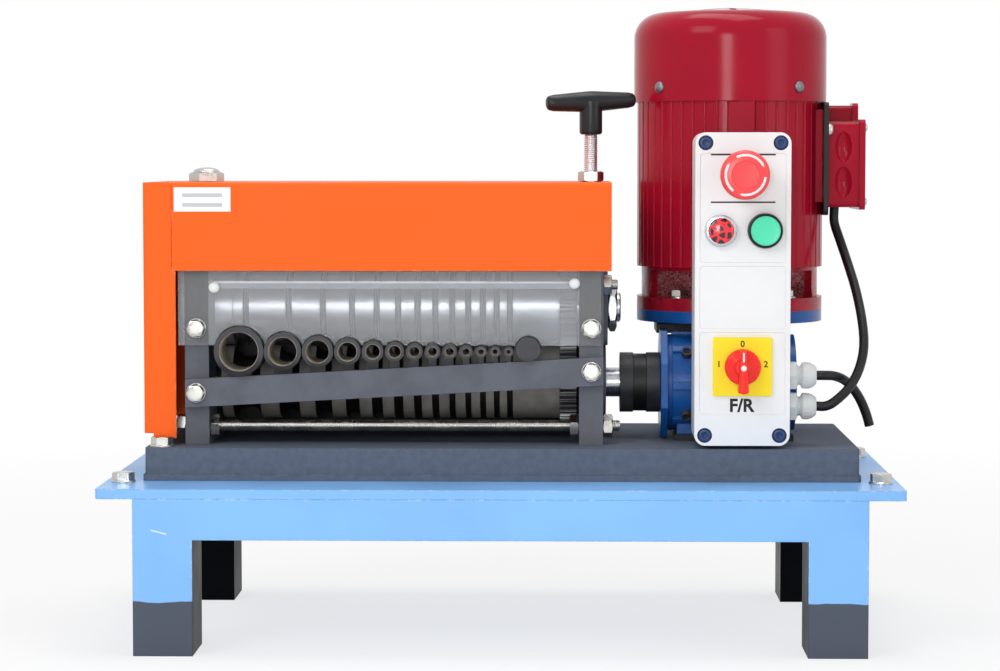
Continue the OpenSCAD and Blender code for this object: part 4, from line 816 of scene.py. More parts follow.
def adjusting_screw(x, node_name, top):
    """The collar that the keeper plate holds, and the threaded stem from it up to top."""
    foot, collar_h = corners(node_name)[0][2], 7
    collar = [(0, 0), (8.4, 0), (9, 0.6), (9, collar_h - 0.6), (8.4, collar_h), (0, collar_h)]
    stem = thread_rows(12, 1.75, top - foot - collar_h, 0.85)
    return [turned(collar, (x, head_y, foot)), grid_shell(aim(stem, (x, head_y, foot + collar_h)))]


depth_screw = adjusting_screw(plate_mids[1], "depth_screw", corners("depth_screw")[1][2])
make_piece("depth_screw_thread", depth_screw, "polished_steel", "depth_handle", ["depth_screw"], 60)

CAP_NUT_H = 8
cap_seat = cover_high[2] + 0.3
dome_h = corners("left_screw")[1][2] - cap_seat - CAP_NUT_H
rise = np.linspace(0, np.pi / 2, 9)
dome = [(11.8, 0)] + [(11.2 * np.cos(a), 0.3 + (dome_h - 0.3) * np.sin(a)) for a in rise]
CAP_HOLD = 4
shells = adjusting_screw(plate_mids[0], "left_screw", cap_seat + CAP_HOLD)
shells.append(grid_shell(aim(hex_head(26, CAP_NUT_H), (plate_mids[0], head_y, cap_seat), spin=12)))
shells.append(turned(dome + [(0, 0)], (plate_mids[0], head_y, cap_seat + CAP_NUT_H)))
make_piece("left_cap_nut", shells, "zinc_fastener", "left_screw", ["left_screw"], 28)


# %% [markdown]
# The T-handle is moulded black plastic: a straight hub under a grip that tapers from its middle to rounded
# ends. Both are turned shapes. The grip's radius falls in a straight line from the middle, softened there by
# a square root, and its last few millimetres follow a quarter circle.

# %% T-handle
hub_foot = corners("depth_handle")[0][2]
HUB_H, HUB_R = 28, 9.7
GRIP_HALF, GRIP_R, TIP_ROUND = 39, 9.0, 4.0
HANDLE_TURN, HANDLE_TILT = math.radians(14), math.radians(2.4)


def grip_radius(s, tip):
    """Straight taper from GRIP_R in the middle to tip at the ends, with a soft ridge."""
    soft = np.sqrt(np.asarray(s, float) ** 2 + 4.0) - 2.0
    return GRIP_R - (GRIP_R - tip) * soft / GRIP_HALF


def grip_end(sign, tip):
    """Quarter circle of TIP_ROUND at one end, from its flat face to its side."""
    a = np.linspace(0, np.pi / 2, 7)
    radius = tip - TIP_ROUND + TIP_ROUND * np.sin(a)
    return list(zip(radius, sign * (GRIP_HALF - TIP_ROUND + TIP_ROUND * np.cos(a))))


LEFT_TIP, RIGHT_TIP = 6.5, 6.0
s = np.linspace(-GRIP_HALF + TIP_ROUND, GRIP_HALF - TIP_ROUND, 41)[1:-1]
side = list(zip(grip_radius(s, np.where(s < 0, LEFT_TIP, RIGHT_TIP)), s))
grip = [(0, -GRIP_HALF), *grip_end(-1, LEFT_TIP), *side, *grip_end(1, RIGHT_TIP)[::-1], (0, GRIP_HALF)]
along = np.array([math.cos(HANDLE_TURN), math.sin(HANDLE_TURN), math.tan(HANDLE_TILT)])
hub = [(0, 0), (7.6, 0), (8.8, 0.5), (9.5, 1.4), (HUB_R, 2.6), (HUB_R, HUB_H), (0, HUB_H)]
make_piece("t_handle", [turned(grip, (plate_mids[1], head_y, hub_foot + HUB_H), along, 56),
                        turned(hub, (plate_mids[1], head_y, hub_foot))], "black_plastic", "depth_handle",
           ["depth_handle"], 40)


# %% [markdown]
# The emergency stop is a coral mushroom with a shallow step round its middle and three printed arcs that
# show which way to twist it. The head is turned from a profile whose face is a slow dome that rolls over at
# the rim. Each arc is a thin closed strip that follows the same dome, so it lies on the face.

# %% Emergency stop
FINISH["coral_plastic"] = plastic_finish("coral_plastic", srgb(246, 78, 80), (0.22, 0.32))
lid_low, lid_high = corners("control_lid")
box_x = (lid_low[0] + lid_high[0]) / 2
lid_y = lid_low[1]
estop_low, estop_high = corners("estop_head")
estop_z = (estop_low[2] + estop_high[2]) / 2
ESTOP_R = (estop_high[0] - estop_low[0]) / 2
STEP_R = 11.4
head_back, head_front = lid_y - estop_high[1], lid_y - estop_low[1]


def crown_height(radius):
    """Height of the face over the lid: a slow dome, 1.2 (r / R)^2 lower, and 3.4 (r / R)^14 at its rim."""
    share = np.clip(np.asarray(radius, float) / ESTOP_R, 0, 1)
    return head_front - 1.2 * share**2 - 3.4 * share**14


def strip_solid(top, sink):
    """Close an open grid into a thin solid: each row runs out over the top and back along a copy moved by
    sink, and both ends are closed at their mean point."""
    ring = np.concatenate([top, top[:, ::-1] + sink], axis=1)
    first, last = (np.broadcast_to(row.mean(axis=0), (1,) + row.shape) for row in (ring[0], ring[-1]))
    return grid_shell(np.concatenate([first, ring, last]))


def printed_arc(start, stop, inner, outer):
    """A strip between two radii from angle start to stop in degrees, on the crown, tapered at its start."""
    angle = np.radians(np.linspace(start, stop, 36))[:, None]
    taper = np.clip((np.degrees(angle) - start) / 6.0, 0.4, 1.0)
    radius = (inner + outer) / 2 + np.linspace(-0.5, 0.5, 5)[None, :] * (outer - inner) * taper
    top = np.stack([radius * np.cos(angle), -crown_height(radius) - 0.08, radius * np.sin(angle)], axis=-1)
    return strip_solid(top + [box_x, lid_y, estop_z], [0, 0.3, 0])


face_r = np.linspace(ESTOP_R, STEP_R, 24)
dish_r = np.linspace(STEP_R - 0.5, 0, 8)
dish = crown_height(STEP_R) - 0.6 - 0.2 * (1 - (dish_r / STEP_R) ** 2)
profile = [(0, head_back), (ESTOP_R - 4.4, head_back), (ESTOP_R - 3.6, head_back + 0.3),
           (ESTOP_R - 0.5, head_back + 3), (ESTOP_R, head_back + 4.4),
           *zip(face_r, crown_height(face_r)), *zip(dish_r, dish)]
mushroom = turned(profile, (box_x, lid_y, estop_z), FRONT, 96)
make_piece("estop_mushroom", [mushroom], "coral_plastic", "estop_head", ["estop_head"], 30)
arcs = [printed_arc(start, stop, 15, 17) for start, stop in ((24, 117), (145, 232), (254, 354))]
make_piece("estop_arcs", arcs, "white_plastic", "estop_head")


# %% [markdown]
# The lamp and the start button sit in panel rings. The lamp's ring is plated and its lens is moulded with a
# coarse net, the start button has a black ring and a flat mint green cap. All are turned profiles.

# %% Panel rings, lamp and start button
PANEL_Y = lid_y + 0.6
start_low, start_high = corners("start_button")
lens_low, lens_high = corners("lamp_lens")
start_x, lamp_x = (start_low[0] + start_high[0]) / 2, (lens_low[0] + lens_high[0]) / 2
lamp_z = (lens_low[2] + lens_high[2]) / 2


def panel_ring(x, z, bore, outer, height, lip):
    """A ring on the panel: straight bore, outside that leans in to a front lip of the given width."""
    section = [(bore, 0), (outer, 0), (outer, height * 0.4), (outer - 0.35 * lip, height - 0.3 * lip),
               (outer - lip, height), (bore + 0.5, height), (bore, height - 0.5)]
    return turned(section, (x, PANEL_Y, z), FRONT, 72, True)


for name, x, z, ring, finish in (("estop_collar", box_x, estop_z, (7.4, 16, 5, 0.8), "white_plastic"),
                                 ("start_ring", start_x, lamp_z, (12.3, 14.5, 6, 1.3), "black_plastic"),
                                 ("lamp_ring", lamp_x, lamp_z, (9.7, 13.2, 5, 1.5), "bearing_steel")):
    make_piece(name, [panel_ring(x, z, *ring)], finish, "frame", ["panel_bezels"])

start_front, start_back = PANEL_Y - start_low[1], PANEL_Y - start_high[1]
cap_r = np.linspace(9.8, 0, 6)
cap = [(0, start_back), (9, start_back), (9, start_front - 6), (11.7, start_front - 6),
       (12, start_front - 5.7), (12, start_front - 0.8), (11.6, start_front - 0.2),
       (11, start_front), (10.3, start_front - 0.3),
       *zip(cap_r, start_front - 0.35 - 0.15 * (1 - (cap_r / 9.8) ** 2))]
make_piece("start_cap", [turned(cap, (start_x, PANEL_Y, lamp_z), FRONT, 72)], "green_plastic", "start_button",
           ["start_button"])

lens_front = PANEL_Y - lens_low[1]
rise = np.linspace(0, np.pi / 2, 10)
lens = [(0, -3), (9.4, -3), (9.4, 4.9), (10.6, 5.05),
        *zip(10.6 * np.cos(rise), 5.15 + (lens_front - 5.15) * np.sin(rise))]
lens_dome = turned(lens, (lamp_x, PANEL_Y, lamp_z), FRONT, 72)
make_piece("lamp_dome", [lens_dome], "red_lens", "frame", ["lamp_lens"])


# %% [markdown]
# The rotary switch: a red disc with a grip moulded across it. The grip is narrow above, wider below and ends
# square there, so it is a row of rounded rectangles along Z whose half width grows from top to foot. A round
# boss swells round the pivot, with a white cap in it, and a pale strip on the upper arm is the pointer.

# %% Switch knob
plate_low, plate_high = corners("switch_plate")
switch_z = (plate_low[2] + plate_high[2]) / 2
knob_low = corners("switch_knob")[0]
knob_seat = np.array([box_x, plate_low[1] - 0.3, switch_z])
grip_rise = knob_seat[1] - knob_low[1]
GRIP_TOP, GRIP_FOOT, DISC_T = 14.4, -21.2, 6.0

share = np.linspace(0, 1, 49)[:, None]
closing = np.sqrt(np.clip(1 - (2 * share - 1) ** 40, 0, 1))
half = (2.9 + 1.8 * share) * closing
rise = (grip_rise - DISC_T) * (0.9 + 0.1 * closing)
around = np.linspace(0, 2 * np.pi, 40, endpoint=False)[None, :]
square_x, square_y = (np.sign(wave) * np.abs(wave) ** 0.4 for wave in (np.cos(around), np.sin(around)))
grip_z = np.broadcast_to(GRIP_TOP + (GRIP_FOOT - GRIP_TOP) * share, (49, 40))
grip_x = half * square_x * (1 - 0.1 * (square_y > 0))
grip = np.stack([grip_x, -DISC_T - rise * (0.5 + 0.5 * square_y), grip_z], axis=-1)
disc = [(0, 0), (14.2, 0), (14.7, 0.5), (14.7, 5), (14.3, 6), (13.3, 6.7), (8, 7), (7.2, 7.6), (6.8, 10.5),
        (6, 11.4), (0, 11.6)]
shaft = [(0, -14), (4, -14), (4, 0), (0, 0)]
knob = [turned(disc, knob_seat, FRONT, 96), turned(shaft, knob_seat, FRONT), grid_shell(grip + knob_seat)]
make_piece("knob_grip", knob, "red_plastic", "switch_knob", ["switch_knob"], 40)
dot = [(0, grip_rise - 1), (2.3, grip_rise - 1), (2.3, grip_rise), (2, grip_rise + 0.15),
       (0, grip_rise + 0.2)]
pointer = np.array([[[x, -grip_rise - 0.05, z] for x in (-0.7, 0.7)] for z in (5.0, 12.6)])
make_piece("knob_marks", [turned(dot, knob_seat, FRONT), strip_solid(pointer + knob_seat, [0, 0.4, 0])],
           "white_plastic", "switch_knob")


# %% [markdown]
# Lettering: the switch's positions, the turning directions under it and two ruled lines on the upper panel.
# Text becomes a mesh first and takes its place in the mesh itself. A thin extrusion keeps it clear of the
# panel.

# %% Numbers and lines
FINISH["black_ink"] = skin_finish("black_ink", srgb(24, 24, 26), (0.5, 0.6), grain=(2000.0, 0.000004))
INK_T = 0.1


def print_text(name, words, x, z, surface_y, tall, bold):
    """Words with capitals as tall as given, centred at x, z on a panel that faces the front."""
    text = bpy.data.curves.new(name, "FONT")
    text.body = words
    text.align_x, text.align_y = "CENTER", "CENTER"
    text.size, text.offset, text.extrude = tall / 0.69 * MM, bold * MM, INK_T / 2 * MM
    holder = bpy.data.objects.new(name + "_text", text)
    mesh = bpy.data.meshes.new_from_object(holder)
    bpy.data.objects.remove(holder)
    upright = Matrix.Rotation(math.pi / 2, 4, "X")
    mesh.transform(Matrix.Translation((x * MM, (surface_y - INK_T / 2) * MM, z * MM)) @ upright)
    mesh.materials.clear()
    mesh.materials.append(FINISH["black_ink"])
    piece = bpy.data.objects.new(name, mesh)
    bpy.context.scene.collection.objects.link(piece)
    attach(piece, "frame")
    print(name, len(mesh.polygons), "faces")


for label, dx, dz in (("0", 0, 18.6), ("1", -19.2, 2), ("2", 19.1, 2)):
    print_text("switch_mark_" + label, label, box_x + dx, switch_z + dz, plate_low[1], 4.9, 0.12)
print_text("turning_legend", "F/R", box_x - 0.5, switch_z - 32.4, PANEL_Y, 10.2, 0.45)

LINE_HALF, LINE_TALL = 26.3, 1.25
lines = []
for dz in (16.4, -22.3):
    line_x = box_x + np.array([-1, 1]) * LINE_HALF
    line_z = estop_z + dz + np.array([-1, 1]) * LINE_TALL / 2
    top = np.array([[[x, PANEL_Y - INK_T, z] for z in line_z] for x in line_x])
    lines.append(strip_solid(top, [0, INK_T, 0]))
make_piece("panel_lines", lines, "black_ink", "frame")


# %% [markdown]
# The lid's screws sit in dark recess rings. The heads are turned with a rounded rim and a six sided socket,
# which is a hexagon ring carried down into the head.

# %% Lid screws
screw_low, screw_high = corners("lid_screws")
SCREW_R = 5.75
screw_places = [(x, z) for x in (screw_low[0] + SCREW_R, screw_high[0] - SCREW_R)
                for z in (screw_low[2] + SCREW_R, screw_high[2] - SCREW_R)]
head = hex_rings(4.6, [("round", 0, -3), ("round", 4.9, -3), ("round", 4.9, 0.1), ("round", 4.5, 0.5),
                       ("round", 3.6, 0.7), ("round", 2.75, 0.6), ("hex", 0, 0.2), ("hex", 0, -2),
                       ("round", 0, -2.2)])
recess = [(4.9, -0.3), (6.1, -0.3), (6.1, 0.05), (5.9, 0.12), (5.2, 0.12), (4.9, -0.05)]
heads = [grid_shell(aim(head, (x, lid_y, z), FRONT)) for x, z in screw_places]
make_piece("lid_screw_heads", heads, "navy_cap", "frame", ["lid_screws"], 30)
make_piece("lid_screw_rings", [turned(recess, (x, lid_y, z), FRONT, 48, True) for x, z in screw_places],
           "black_plastic", "frame")


# %% [markdown]
# The cable glands are nylon: a hexagon seat against the box, a hollow waist and a domed nut that closes on
# the cable. The nut's grip ribs are a small cosine ripple on its radius that fades towards the dome.

# %% Cable glands
gland_low, gland_high = corners("cable_glands")
gland_y = (gland_low[1] + gland_high[1]) / 2
GLAND_FLATS = 22
GLAND_REACH = GLAND_FLATS / math.cos(math.pi / 6) / 2
gland_zs = (gland_low[2] + GLAND_REACH, gland_high[2] - GLAND_REACH)


def gland_shells(z):
    """Hexagon seat, waist and domed nut of one gland, along +X from the box's wall."""
    origin = (gland_low[0], gland_y, z)
    seat = hex_rings(GLAND_FLATS, [("round", 0, 0), ("round", 10.2, 0), ("hex", 1, 0), ("hex", -1, 8),
                                   ("round", 10.2, 8), ("round", 9, 8.1), ("round", 7.5, 10),
                                   ("round", 9, 11.9), ("round", 0, 11.9)])
    along = np.array([11.6, 11.7, 12.4, 13.2, 15, 17, 18.6, 20.4, 22, 23.2, 24, 24])
    radius = np.array([0, 9.4, 10.5, 10.8, 10.8, 10.8, 10.6, 10, 9, 8, 7.2, 0])
    angle = np.linspace(0, 2 * np.pi, 72, endpoint=False)
    ripple = 0.25 * np.exp(-((along - 15) / 2.6) ** 4)[:, None] * np.cos(18 * angle)
    grown = np.where(radius[:, None] > 0, radius[:, None] + ripple, 0)
    nut = polar(grown, angle, along[:, None])
    return [grid_shell(aim(rows, origin, RIGHT)) for rows in (seat, nut)]


make_piece("nylon_glands", [shell for z in gland_zs for shell in gland_shells(z)], "pale_nylon", "frame",
           ["cable_glands"], 40)


# %% [markdown]
# Small screws in view: two white ones that hold the guard's cross bar through the window, four round the fan
# cover's skirt, two on the terminal box's plate with four on its lid, and socket screws on the gearbox. Each
# is a turned dome; the socket ones reuse the hexagon rings.

# %% Small screws
def dome_screw(seat, axis, diameter, tall):
    """A domed head: a quarter ellipse turned round the axis, on a short neck."""
    rise = np.linspace(0, np.pi / 2, 8)
    section = [(0, -1), (diameter / 2, -1), (diameter / 2, 0.12 * tall),
               *zip(diameter / 2 * np.cos(rise) ** 0.8, 0.12 * tall + 0.88 * tall * np.sin(rise))]
    return turned(section, seat, axis, 32)


GUARD_SCREWS = ((-239, 293), (60, 296.5))
guard_screws = [dome_screw((x, window_low[1], z), FRONT, 9, 3) for x, z in GUARD_SCREWS]
make_piece("guard_screws", guard_screws, "white_plastic", "frame")

fan_low, fan_high = corners("fan_cover")
fan_r = (fan_high[0] - fan_low[0]) / 2
shells = []
for a in np.radians([41, 131, 221, 311]):
    out = np.array([np.cos(a), np.sin(a), 0])
    shells.append(dome_screw(np.array([*motor_axis, fan_low[2] + 12]) + out * fan_r, out, 10, 3))
make_piece("fan_cover_screws", shells, "tool_steel", "frame")

pad_low, pad_high = corners("terminal_gasket")
cover_plate_low, cover_plate_high = corners("terminal_lid")
PAD_INSET, PAD_SCREWS_Z, LID_INSET, LID_STEP = 5.3, (424, 381), 7, 15
pad_screws = zip((pad_low[1] + PAD_INSET, pad_high[1] - PAD_INSET), PAD_SCREWS_Z)
shells = [dome_screw((pad_high[0], y, z), RIGHT, 10.4, 4.4) for y, z in pad_screws]
lid_ys = (cover_plate_low[1] + LID_INSET, cover_plate_high[1] - LID_INSET)
lid_zs = (cover_plate_low[2] + LID_INSET, cover_plate_high[2] - LID_STEP - LID_INSET)
shells += [dome_screw((cover_plate_high[0], y, z), RIGHT, 7, 2.4) for y in lid_ys for z in lid_zs]
make_piece("terminal_screws", shells, "zinc_fastener", "frame")

shaft_low, shaft_high = corners("lower_shaft")
shaft_mid = (shaft_low + shaft_high) / 2
HOUSING_X, HOUSING_R, HOUSING_SCREWS = 155, 41, (26, -24)
socket = hex_rings(5, [("round", 0, -2), ("round", 4.6, -2), ("round", 4.6, 4.4), ("round", 4.2, 5),
                       ("round", 3.1, 5), ("hex", 0, 4.7), ("hex", 0, 2.2), ("round", 0, 2)])
shells = []
for rise_z in HOUSING_SCREWS:
    out = np.array([0, -math.sqrt(HOUSING_R**2 - rise_z**2), rise_z])
    shells.append(grid_shell(aim(socket, np.array([HOUSING_X, *shaft_mid[1:]]) + out, out)))
make_piece("gearbox_screws", shells, "blackened_steel", "frame")


# %% [markdown]
# Darkened and dusty skins. The guide tubes were blackened with their weld feet, and their colour falls with
# height: soot on the feet and painted shade on the tubes' lower sides. The motor's end bell is a rough
# casting whose inner wall has gathered pale dust, so flecks of noise show only near the motor's axis. The
# feed roller's grooves are painted darker than its lands, as shade in the grooves.

# %% Soot, dust and painted shade
def shaded_finish(name, colour, tint, mask_of, rough=(0.4, 0.55), shine=0.3):
    """A skin whose colour turns to tint where mask_of(tree, place) is 1; place is Object coordinates."""
    material, tree, shader = start_finish(name)
    shader.inputs["Specular IOR Level"].default_value = shine
    place = tree.nodes.new("ShaderNodeSeparateXYZ")
    tree.links.new(tree.nodes.new("ShaderNodeTexCoord").outputs["Object"], place.inputs[0])
    cloudy = group_node(tree, "clouding", Scale=60.0).outputs["Cloud"]
    base = mix_colour(tree, cloudy, scaled(colour, 0.8), scaled(colour, 1.15))
    tree.links.new(mix_colour(tree, mask_of(tree, place.outputs), base, tint), shader.inputs["Base Color"])
    tree.links.new(remap(tree, cloudy, 0.0, 1.0, *rough), shader.inputs["Roughness"])
    relief = group_node(tree, "skin_relief", Grain_Scale=700.0, Lumps=1.2)
    add_relief(tree, shader, relief.outputs["Height"], 0.00006)
    return material


def axis_distance(tree, coordinates, axis):
    """Distance from an axis, from the two coordinates across it; the axis is given in millimetres."""
    across = [math_node(tree, "SUBTRACT", value, middle * MM) for value, middle in zip(coordinates, axis)]
    return math_node(tree, "SQRT", math_node(tree, "ADD", *[
        math_node(tree, "MULTIPLY", part, part) for part in across]))


def soot_and_shade_mask(tree, place):
    """Full below the tubes' lower third, gone at their middle."""
    return remap(tree, place["Z"], 0.226, 0.238, 1.0, 0.0)


def dust_mask(tree, place):
    """Noise flecks, kept inside a cylinder round the motor's axis."""
    away = axis_distance(tree, (place["X"], place["Y"]), motor_axis)
    flecks = remap(tree, noise_node(tree, 520.0, 6.0, 0.7), 0.44, 0.6)
    return math_node(tree, "MULTIPLY", flecks, remap(tree, away, 0.066, 0.07, 1.0, 0.0))


def groove_shade_mask(tree, place):
    """Full where a point lies deeper than the roller's lands, measured from the roller's axis."""
    low, high = corners("lower_feed_roller")
    away = axis_distance(tree, (place["Y"], place["Z"]), ((low + high) / 2)[1:])
    land = (high[2] - low[2]) / 2 * MM
    return remap(tree, away, land - 0.0012, land - 0.0003, 1.0, 0.0)


# Soot and painted shade: the tubes turn near black below their lower third.
FINISH["soot_and_shade_steel"] = shaded_finish("soot_and_shade_steel", srgb(64, 64, 68), srgb(16, 16, 18), soot_and_shade_mask)
FINISH["dusty_crimson"] = shaded_finish("dusty_crimson", srgb(160, 18, 42), srgb(176, 150, 150), dust_mask,
                                        (0.2, 0.35))
# Painted shade: the roller's grooves turn near black.
FINISH["roller_steel"] = shaded_finish("roller_steel", srgb(146, 143, 138), srgb(20, 20, 22), groove_shade_mask)
dress("guide_tubes", "soot_and_shade_steel")
dress("motor_end_bell", "dusty_crimson")
print("soot and dust ready")


# %% [markdown]
# The feed roller. Each groove that carries a cable is half an ellipse across the roller, wider under the
# wider tubes, so the roller is one turned profile: its radius drops by the ellipse near each tube's middle.
# The tubes' middles and bores are read from the record's openings, but for the three thinnest.

# %% Feed roller
tube_boxes = [np.array(row["box_m"]) / MM for row in frame["record"]["physics"]["openings"]
              if row["name"].startswith("guide_tube")]
THIN_TUBES_X, THIN_BORES_R = (-17.1, -5.45, 5.66), (2.9, 2.7, 2.25)
tube_x = np.append([box[:, 0].mean() for box in tube_boxes], THIN_TUBES_X)
bore_r = np.append([np.ptp(box[:, 0]) / 1.4 for box in tube_boxes], THIN_BORES_R)
roller_low, roller_high = corners("lower_feed_roller")
ROLLER_R = (roller_high[2] - roller_low[2]) / 2
ROLLER_HUB_R, ROLLER_BORE_R, ROLLER_HUB_LEN = 18.5, 12.6, 5.0
roller_mid = (roller_low + roller_high) / 2


def groove(mid, half, deep):
    """Half an ellipse cut into the roller: x = mid - half cos a, r = R - deep sin a."""
    a = np.linspace(0, np.pi, 15)
    return list(zip(ROLLER_R - deep * np.sin(a), mid - half * np.cos(a)))


start, end = roller_low[0], roller_high[0]
profile = [(ROLLER_BORE_R, start), (ROLLER_HUB_R, start), (ROLLER_HUB_R, start + ROLLER_HUB_LEN),
           (ROLLER_R, start + ROLLER_HUB_LEN)]
for mid, r in zip(tube_x, bore_r):
    half = max(2.6, 0.72 * r)
    profile += groove(mid, half, min(0.85 * half, 9.5))
profile += [(ROLLER_R, end), (ROLLER_BORE_R, end)]
make_piece("grooved_feed_roller", [turned(profile, (0, *roller_mid[1:]), RIGHT, 72, True)], "roller_steel",
           "drive", ["lower_feed_roller"], 40)


# %% [markdown]
# The guide tubes are black outside and worn to bare steel inside, so each gets a thin bright liner.

# %% Tube liners
FINISH["bore_steel"] = skin_finish("bore_steel", srgb(214, 204, 188), (0.3, 0.45), metallic=0.25,
                                   cloud=(90.0, 0.55, 1.05), grain=(700.0, 0.00003), edge=(0.0004, 1.0))
tube_low, tube_high = corners("guide_tubes")
tube_z = tube_boxes[0][:, 2].mean()
LINER_GAP, LINER_IN, LINER_SHORT = 0.06, 0.4, 1
liner_len = tube_high[1] - tube_low[1] - 2 * LINER_SHORT
liners = []
for x, r in zip(tube_x, bore_r):
    outer, inner = r - LINER_GAP, r - LINER_IN
    section = [(outer, 0), (outer, liner_len), (inner, liner_len), (inner, 0)]
    liners.append(turned(section, (x, tube_low[1] + LINER_SHORT, tube_z), (0, 1, 0), 48, True))
make_piece("tube_liners", liners, "bore_steel", "frame", crease=60)


# %% [markdown]
# Pieces that keep daylight out of the head: a dark guard behind the rollers, whose outlet for the stripped
# cable is closed by a black rubber flap, both dark as a back cover would be and standing for the shade inside
# the head, and the black neck casting between the gearbox and the flange.

# %% Rear guard and neck
def block(low, high):
    """A plain box between two corners: a ring of four edges, capped at both ends by their middle."""
    low, high = np.asarray(low, float), np.asarray(high, float)
    ring = np.array([[low[0], low[1]], [high[0], low[1]], [high[0], high[1]], [low[0], high[1]]])
    mid = np.tile(ring.mean(axis=0), (4, 1))
    rows = [(mid, low[2]), (ring, low[2]), (ring, high[2]), (mid, high[2])]
    return grid_shell(np.stack([np.column_stack([xy, np.full(4, z)]) for xy, z in rows]))


GUARD_Y, GUARD_T = left_high[1] - 6, 2.0
OUTLET_LOW, OUTLET_HIGH = 226, 256
# The guard and its flap are dark sheets that block light and stand for the shade inside the head.
guard = [block((left_high[0], GUARD_Y, base_high[2]), (right_low[0], GUARD_Y + GUARD_T, OUTLET_LOW)),
         block((left_high[0], GUARD_Y, OUTLET_HIGH), (right_low[0], GUARD_Y + GUARD_T, left_high[2] - 4)),
         block((tube_x[-1] + 12, GUARD_Y, OUTLET_LOW), (right_low[0], GUARD_Y + GUARD_T, OUTLET_HIGH))]
make_piece("rear_shade_guard", guard, "dark_cast", "frame", crease=30)

OUTLET_FLAP_T = 1.5
flap = [block((left_high[0], GUARD_Y + GUARD_T, OUTLET_LOW - 6),
              (right_low[0], GUARD_Y + GUARD_T + OUTLET_FLAP_T, OUTLET_HIGH + 6))]
make_piece("outlet_shade_flap", flap, "black_rubber", "frame", crease=30)

NECK_LOW, NECK_HALF, NECK_REACH, NECK_GAP = 250, 34, (64, 8), 12
neck_low = (motor_axis[0] - NECK_REACH[0], motor_axis[1] - NECK_HALF, NECK_LOW)
neck_high = (motor_axis[0] - NECK_REACH[1], motor_axis[1] + NECK_HALF, bell_low[2] - NECK_GAP)
make_piece("motor_neck", [block(neck_low, neck_high)], "dark_cast", "frame", crease=30)


# %% [markdown]
# The guard's cross bar is grey, and a white strip along its upper edge is a painted highlight. It is held
# outside the right plate by a nut. The cutter shaft ends in two large nuts, which are built again here with
# chamfered corners.

# %% Cross bar and shaft nuts
FINISH["bar_grey"] = skin_finish("bar_grey", srgb(150, 153, 160), (0.4, 0.5), grain=(900.0, 0.00002))
cross_low, cross_high = corners("guard_cross_bar")
dress("guard_cross_bar", "bar_grey")
# Painted highlight: a white strip along the bar's upper edge.
highlight_strip = [block((cross_low[0] + 4, cross_low[1] - 0.1, cross_high[2] - 1.5),
                   (cross_high[0] - 4, cross_low[1] + 0.5, cross_high[2] + 0.05))]
make_piece("cross_bar_highlight", highlight_strip, "white_plastic", "frame", crease=30)

cross_mid = (cross_low + cross_high) / 2
CROSS_NUT_BACK, CROSS_TAIL = 8, 6
nut_y = cross_mid[1] + CROSS_NUT_BACK
tail = thread_rows(9, 1.25, 18, 0.6)
shells = [grid_shell(aim(hex_nut(15, 7, 9.2), (right_high[0], nut_y, cross_mid[2]), RIGHT, 10), True),
          grid_shell(aim(tail, (right_high[0] - CROSS_TAIL, nut_y, cross_mid[2]), RIGHT))]
make_piece("cross_bar_nut", shells, "zinc_fastener", "frame", crease=28)

end_low, end_high = corners("upper_shaft")
SHAFT_R, SHAFT_NUT_H, SHAFT_TIP, SHAFT_NUT_FLATS = 12.5, 8, 3, 36
axis_y, axis_z = (end_low[1] + end_high[1]) / 2, (end_low[2] + end_high[2]) / 2
shaft_len = end_high[0] - end_low[0]
stem = [(0, 0), (SHAFT_R - 1, 0), (SHAFT_R, 1), (SHAFT_R, shaft_len - 1), (SHAFT_R - 1, shaft_len),
        (0, shaft_len)]
shells = [turned(stem, (end_low[0], axis_y, axis_z), RIGHT, 48)]
for x in (end_low[0] + SHAFT_TIP, end_high[0] - SHAFT_TIP - SHAFT_NUT_H):
    nut = hex_nut(SHAFT_NUT_FLATS, SHAFT_NUT_H, 2 * SHAFT_R + 0.2)
    shells.append(grid_shell(aim(nut, (x, axis_y, axis_z), RIGHT, 30), True))
make_piece("cutter_shaft_and_nuts", shells, "bearing_steel", "cutter_shaft", ["upper_shaft"], 28)


# %% [markdown]
# The last small things on the covers and the motor: a plain white plate on the top cover, one domed screw on
# the end cover's top, and the motor's raised seam strip.

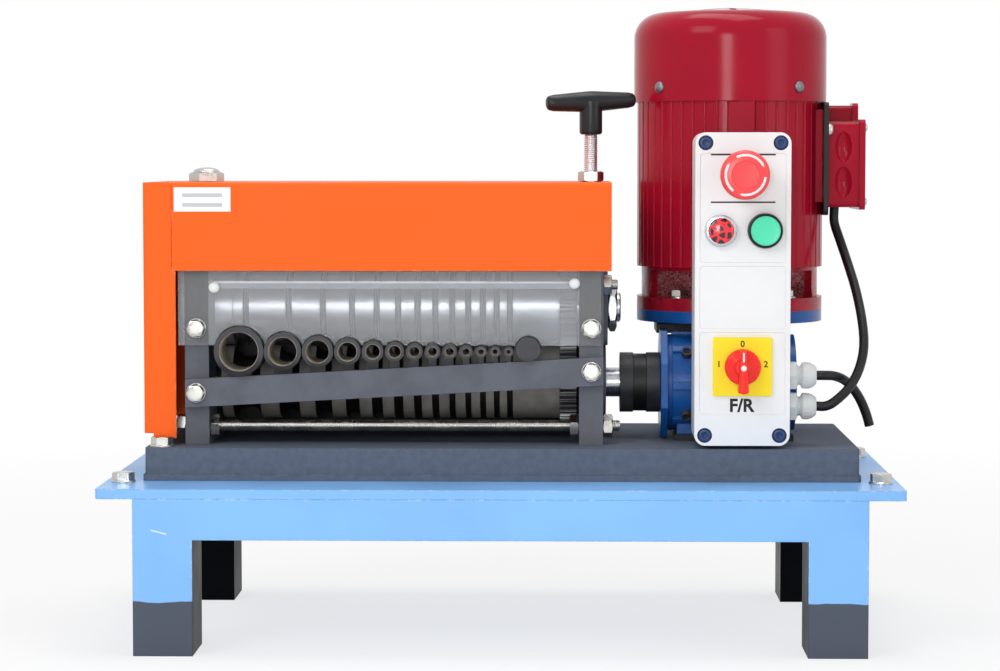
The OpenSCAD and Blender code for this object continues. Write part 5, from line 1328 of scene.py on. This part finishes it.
# %% Plate, screw and seam
LABEL_X, LABEL_Z = (2, 49), (356, 376)
LABEL_BARS_X, LABEL_BARS_Z, LABEL_BAR_H = (9, 42), (360, 368), 3
plate = [block((cover_low[0] + LABEL_X[0], cover_low[1] - 0.25, LABEL_Z[0]),
               (cover_low[0] + LABEL_X[1], cover_low[1] + 0.3, LABEL_Z[1]))]
FINISH["label_white"] = plastic_finish("label_white", srgb(246, 246, 244))
make_piece("cover_plate", plate, "label_white", "frame", crease=30)
FINISH["label_bars"] = plastic_finish("label_bars", srgb(196, 198, 200))
bars = [block((cover_low[0] + LABEL_BARS_X[0], cover_low[1] - 0.35, z),
              (cover_low[0] + LABEL_BARS_X[1], cover_low[1], z + LABEL_BAR_H)) for z in LABEL_BARS_Z]
make_piece("cover_plate_bars", bars, "label_bars", "frame", crease=30)

end_cover_low, end_cover_high = corners("left_end_cover")
cover_screw_seat = (end_cover_low[0] + 9, -40, end_cover_high[2] - 1.5)
make_piece("end_cover_screw", [dome_screw(cover_screw_seat, (0, 0, 1), 9, 1.4)], "orange_paint", "frame")

body_low, body_high = corners("motor_body")
seam = [block((motor_axis[0] + 3, body_low[1] - 0.2, body_low[2] + 6),
              (motor_axis[0] + 16, body_low[1] + 8, body_high[2] - 1))]
make_piece("motor_seam", seam, "motor_paint", "frame", crease=30)


# %% [markdown]
# Two marks of painted shade give the steel its rhythm. Between the spacers each cutter disc stands in a dark
# ring of painted shade, which fills the turned shoulders beside it, and each front bolt's head has a dark
# line of painted shade round it on its washer.

# %% Painted shade: disc rings and bolt lines
FINISH["disc_shade_grey"] = skin_finish("disc_shade_grey", srgb(92, 94, 100), (0.4, 0.55), metallic=0.3,
                                  grain=(900.0, 0.00002))
# Painted shade: a duller ring round each cutter disc.
DISC_SHADE_RING = [(26.2, -2.6), (29.7, -2.6), (29.7, 2.6), (26.2, 2.6)]
rings = [turned(DISC_SHADE_RING, (x, axis_y, axis_z), RIGHT, 64, True) for x in tube_x]
make_piece("disc_shade_rings", rings, "disc_shade_grey", "cutter_shaft")

# Painted shade: a dark line round each front bolt's head on its washer.
lines = []
for x in plate_mids:
    for seat in ((x, bar_low[1] - 1.6, bar_mid(x)), (x, window_low[1] - 1.6, GUARD_BOLT_Z)):
        lines.append(turned([(6.3, -0.2), (7.5, -0.2), (7.5, 0.12), (6.3, 0.12)], seat, FRONT, 48, True))
make_piece("bolt_shade_lines", lines, "dark_cast", "frame")


# %% [markdown]
# The last cell closes the lesson.

# %% End
print("lesson done")
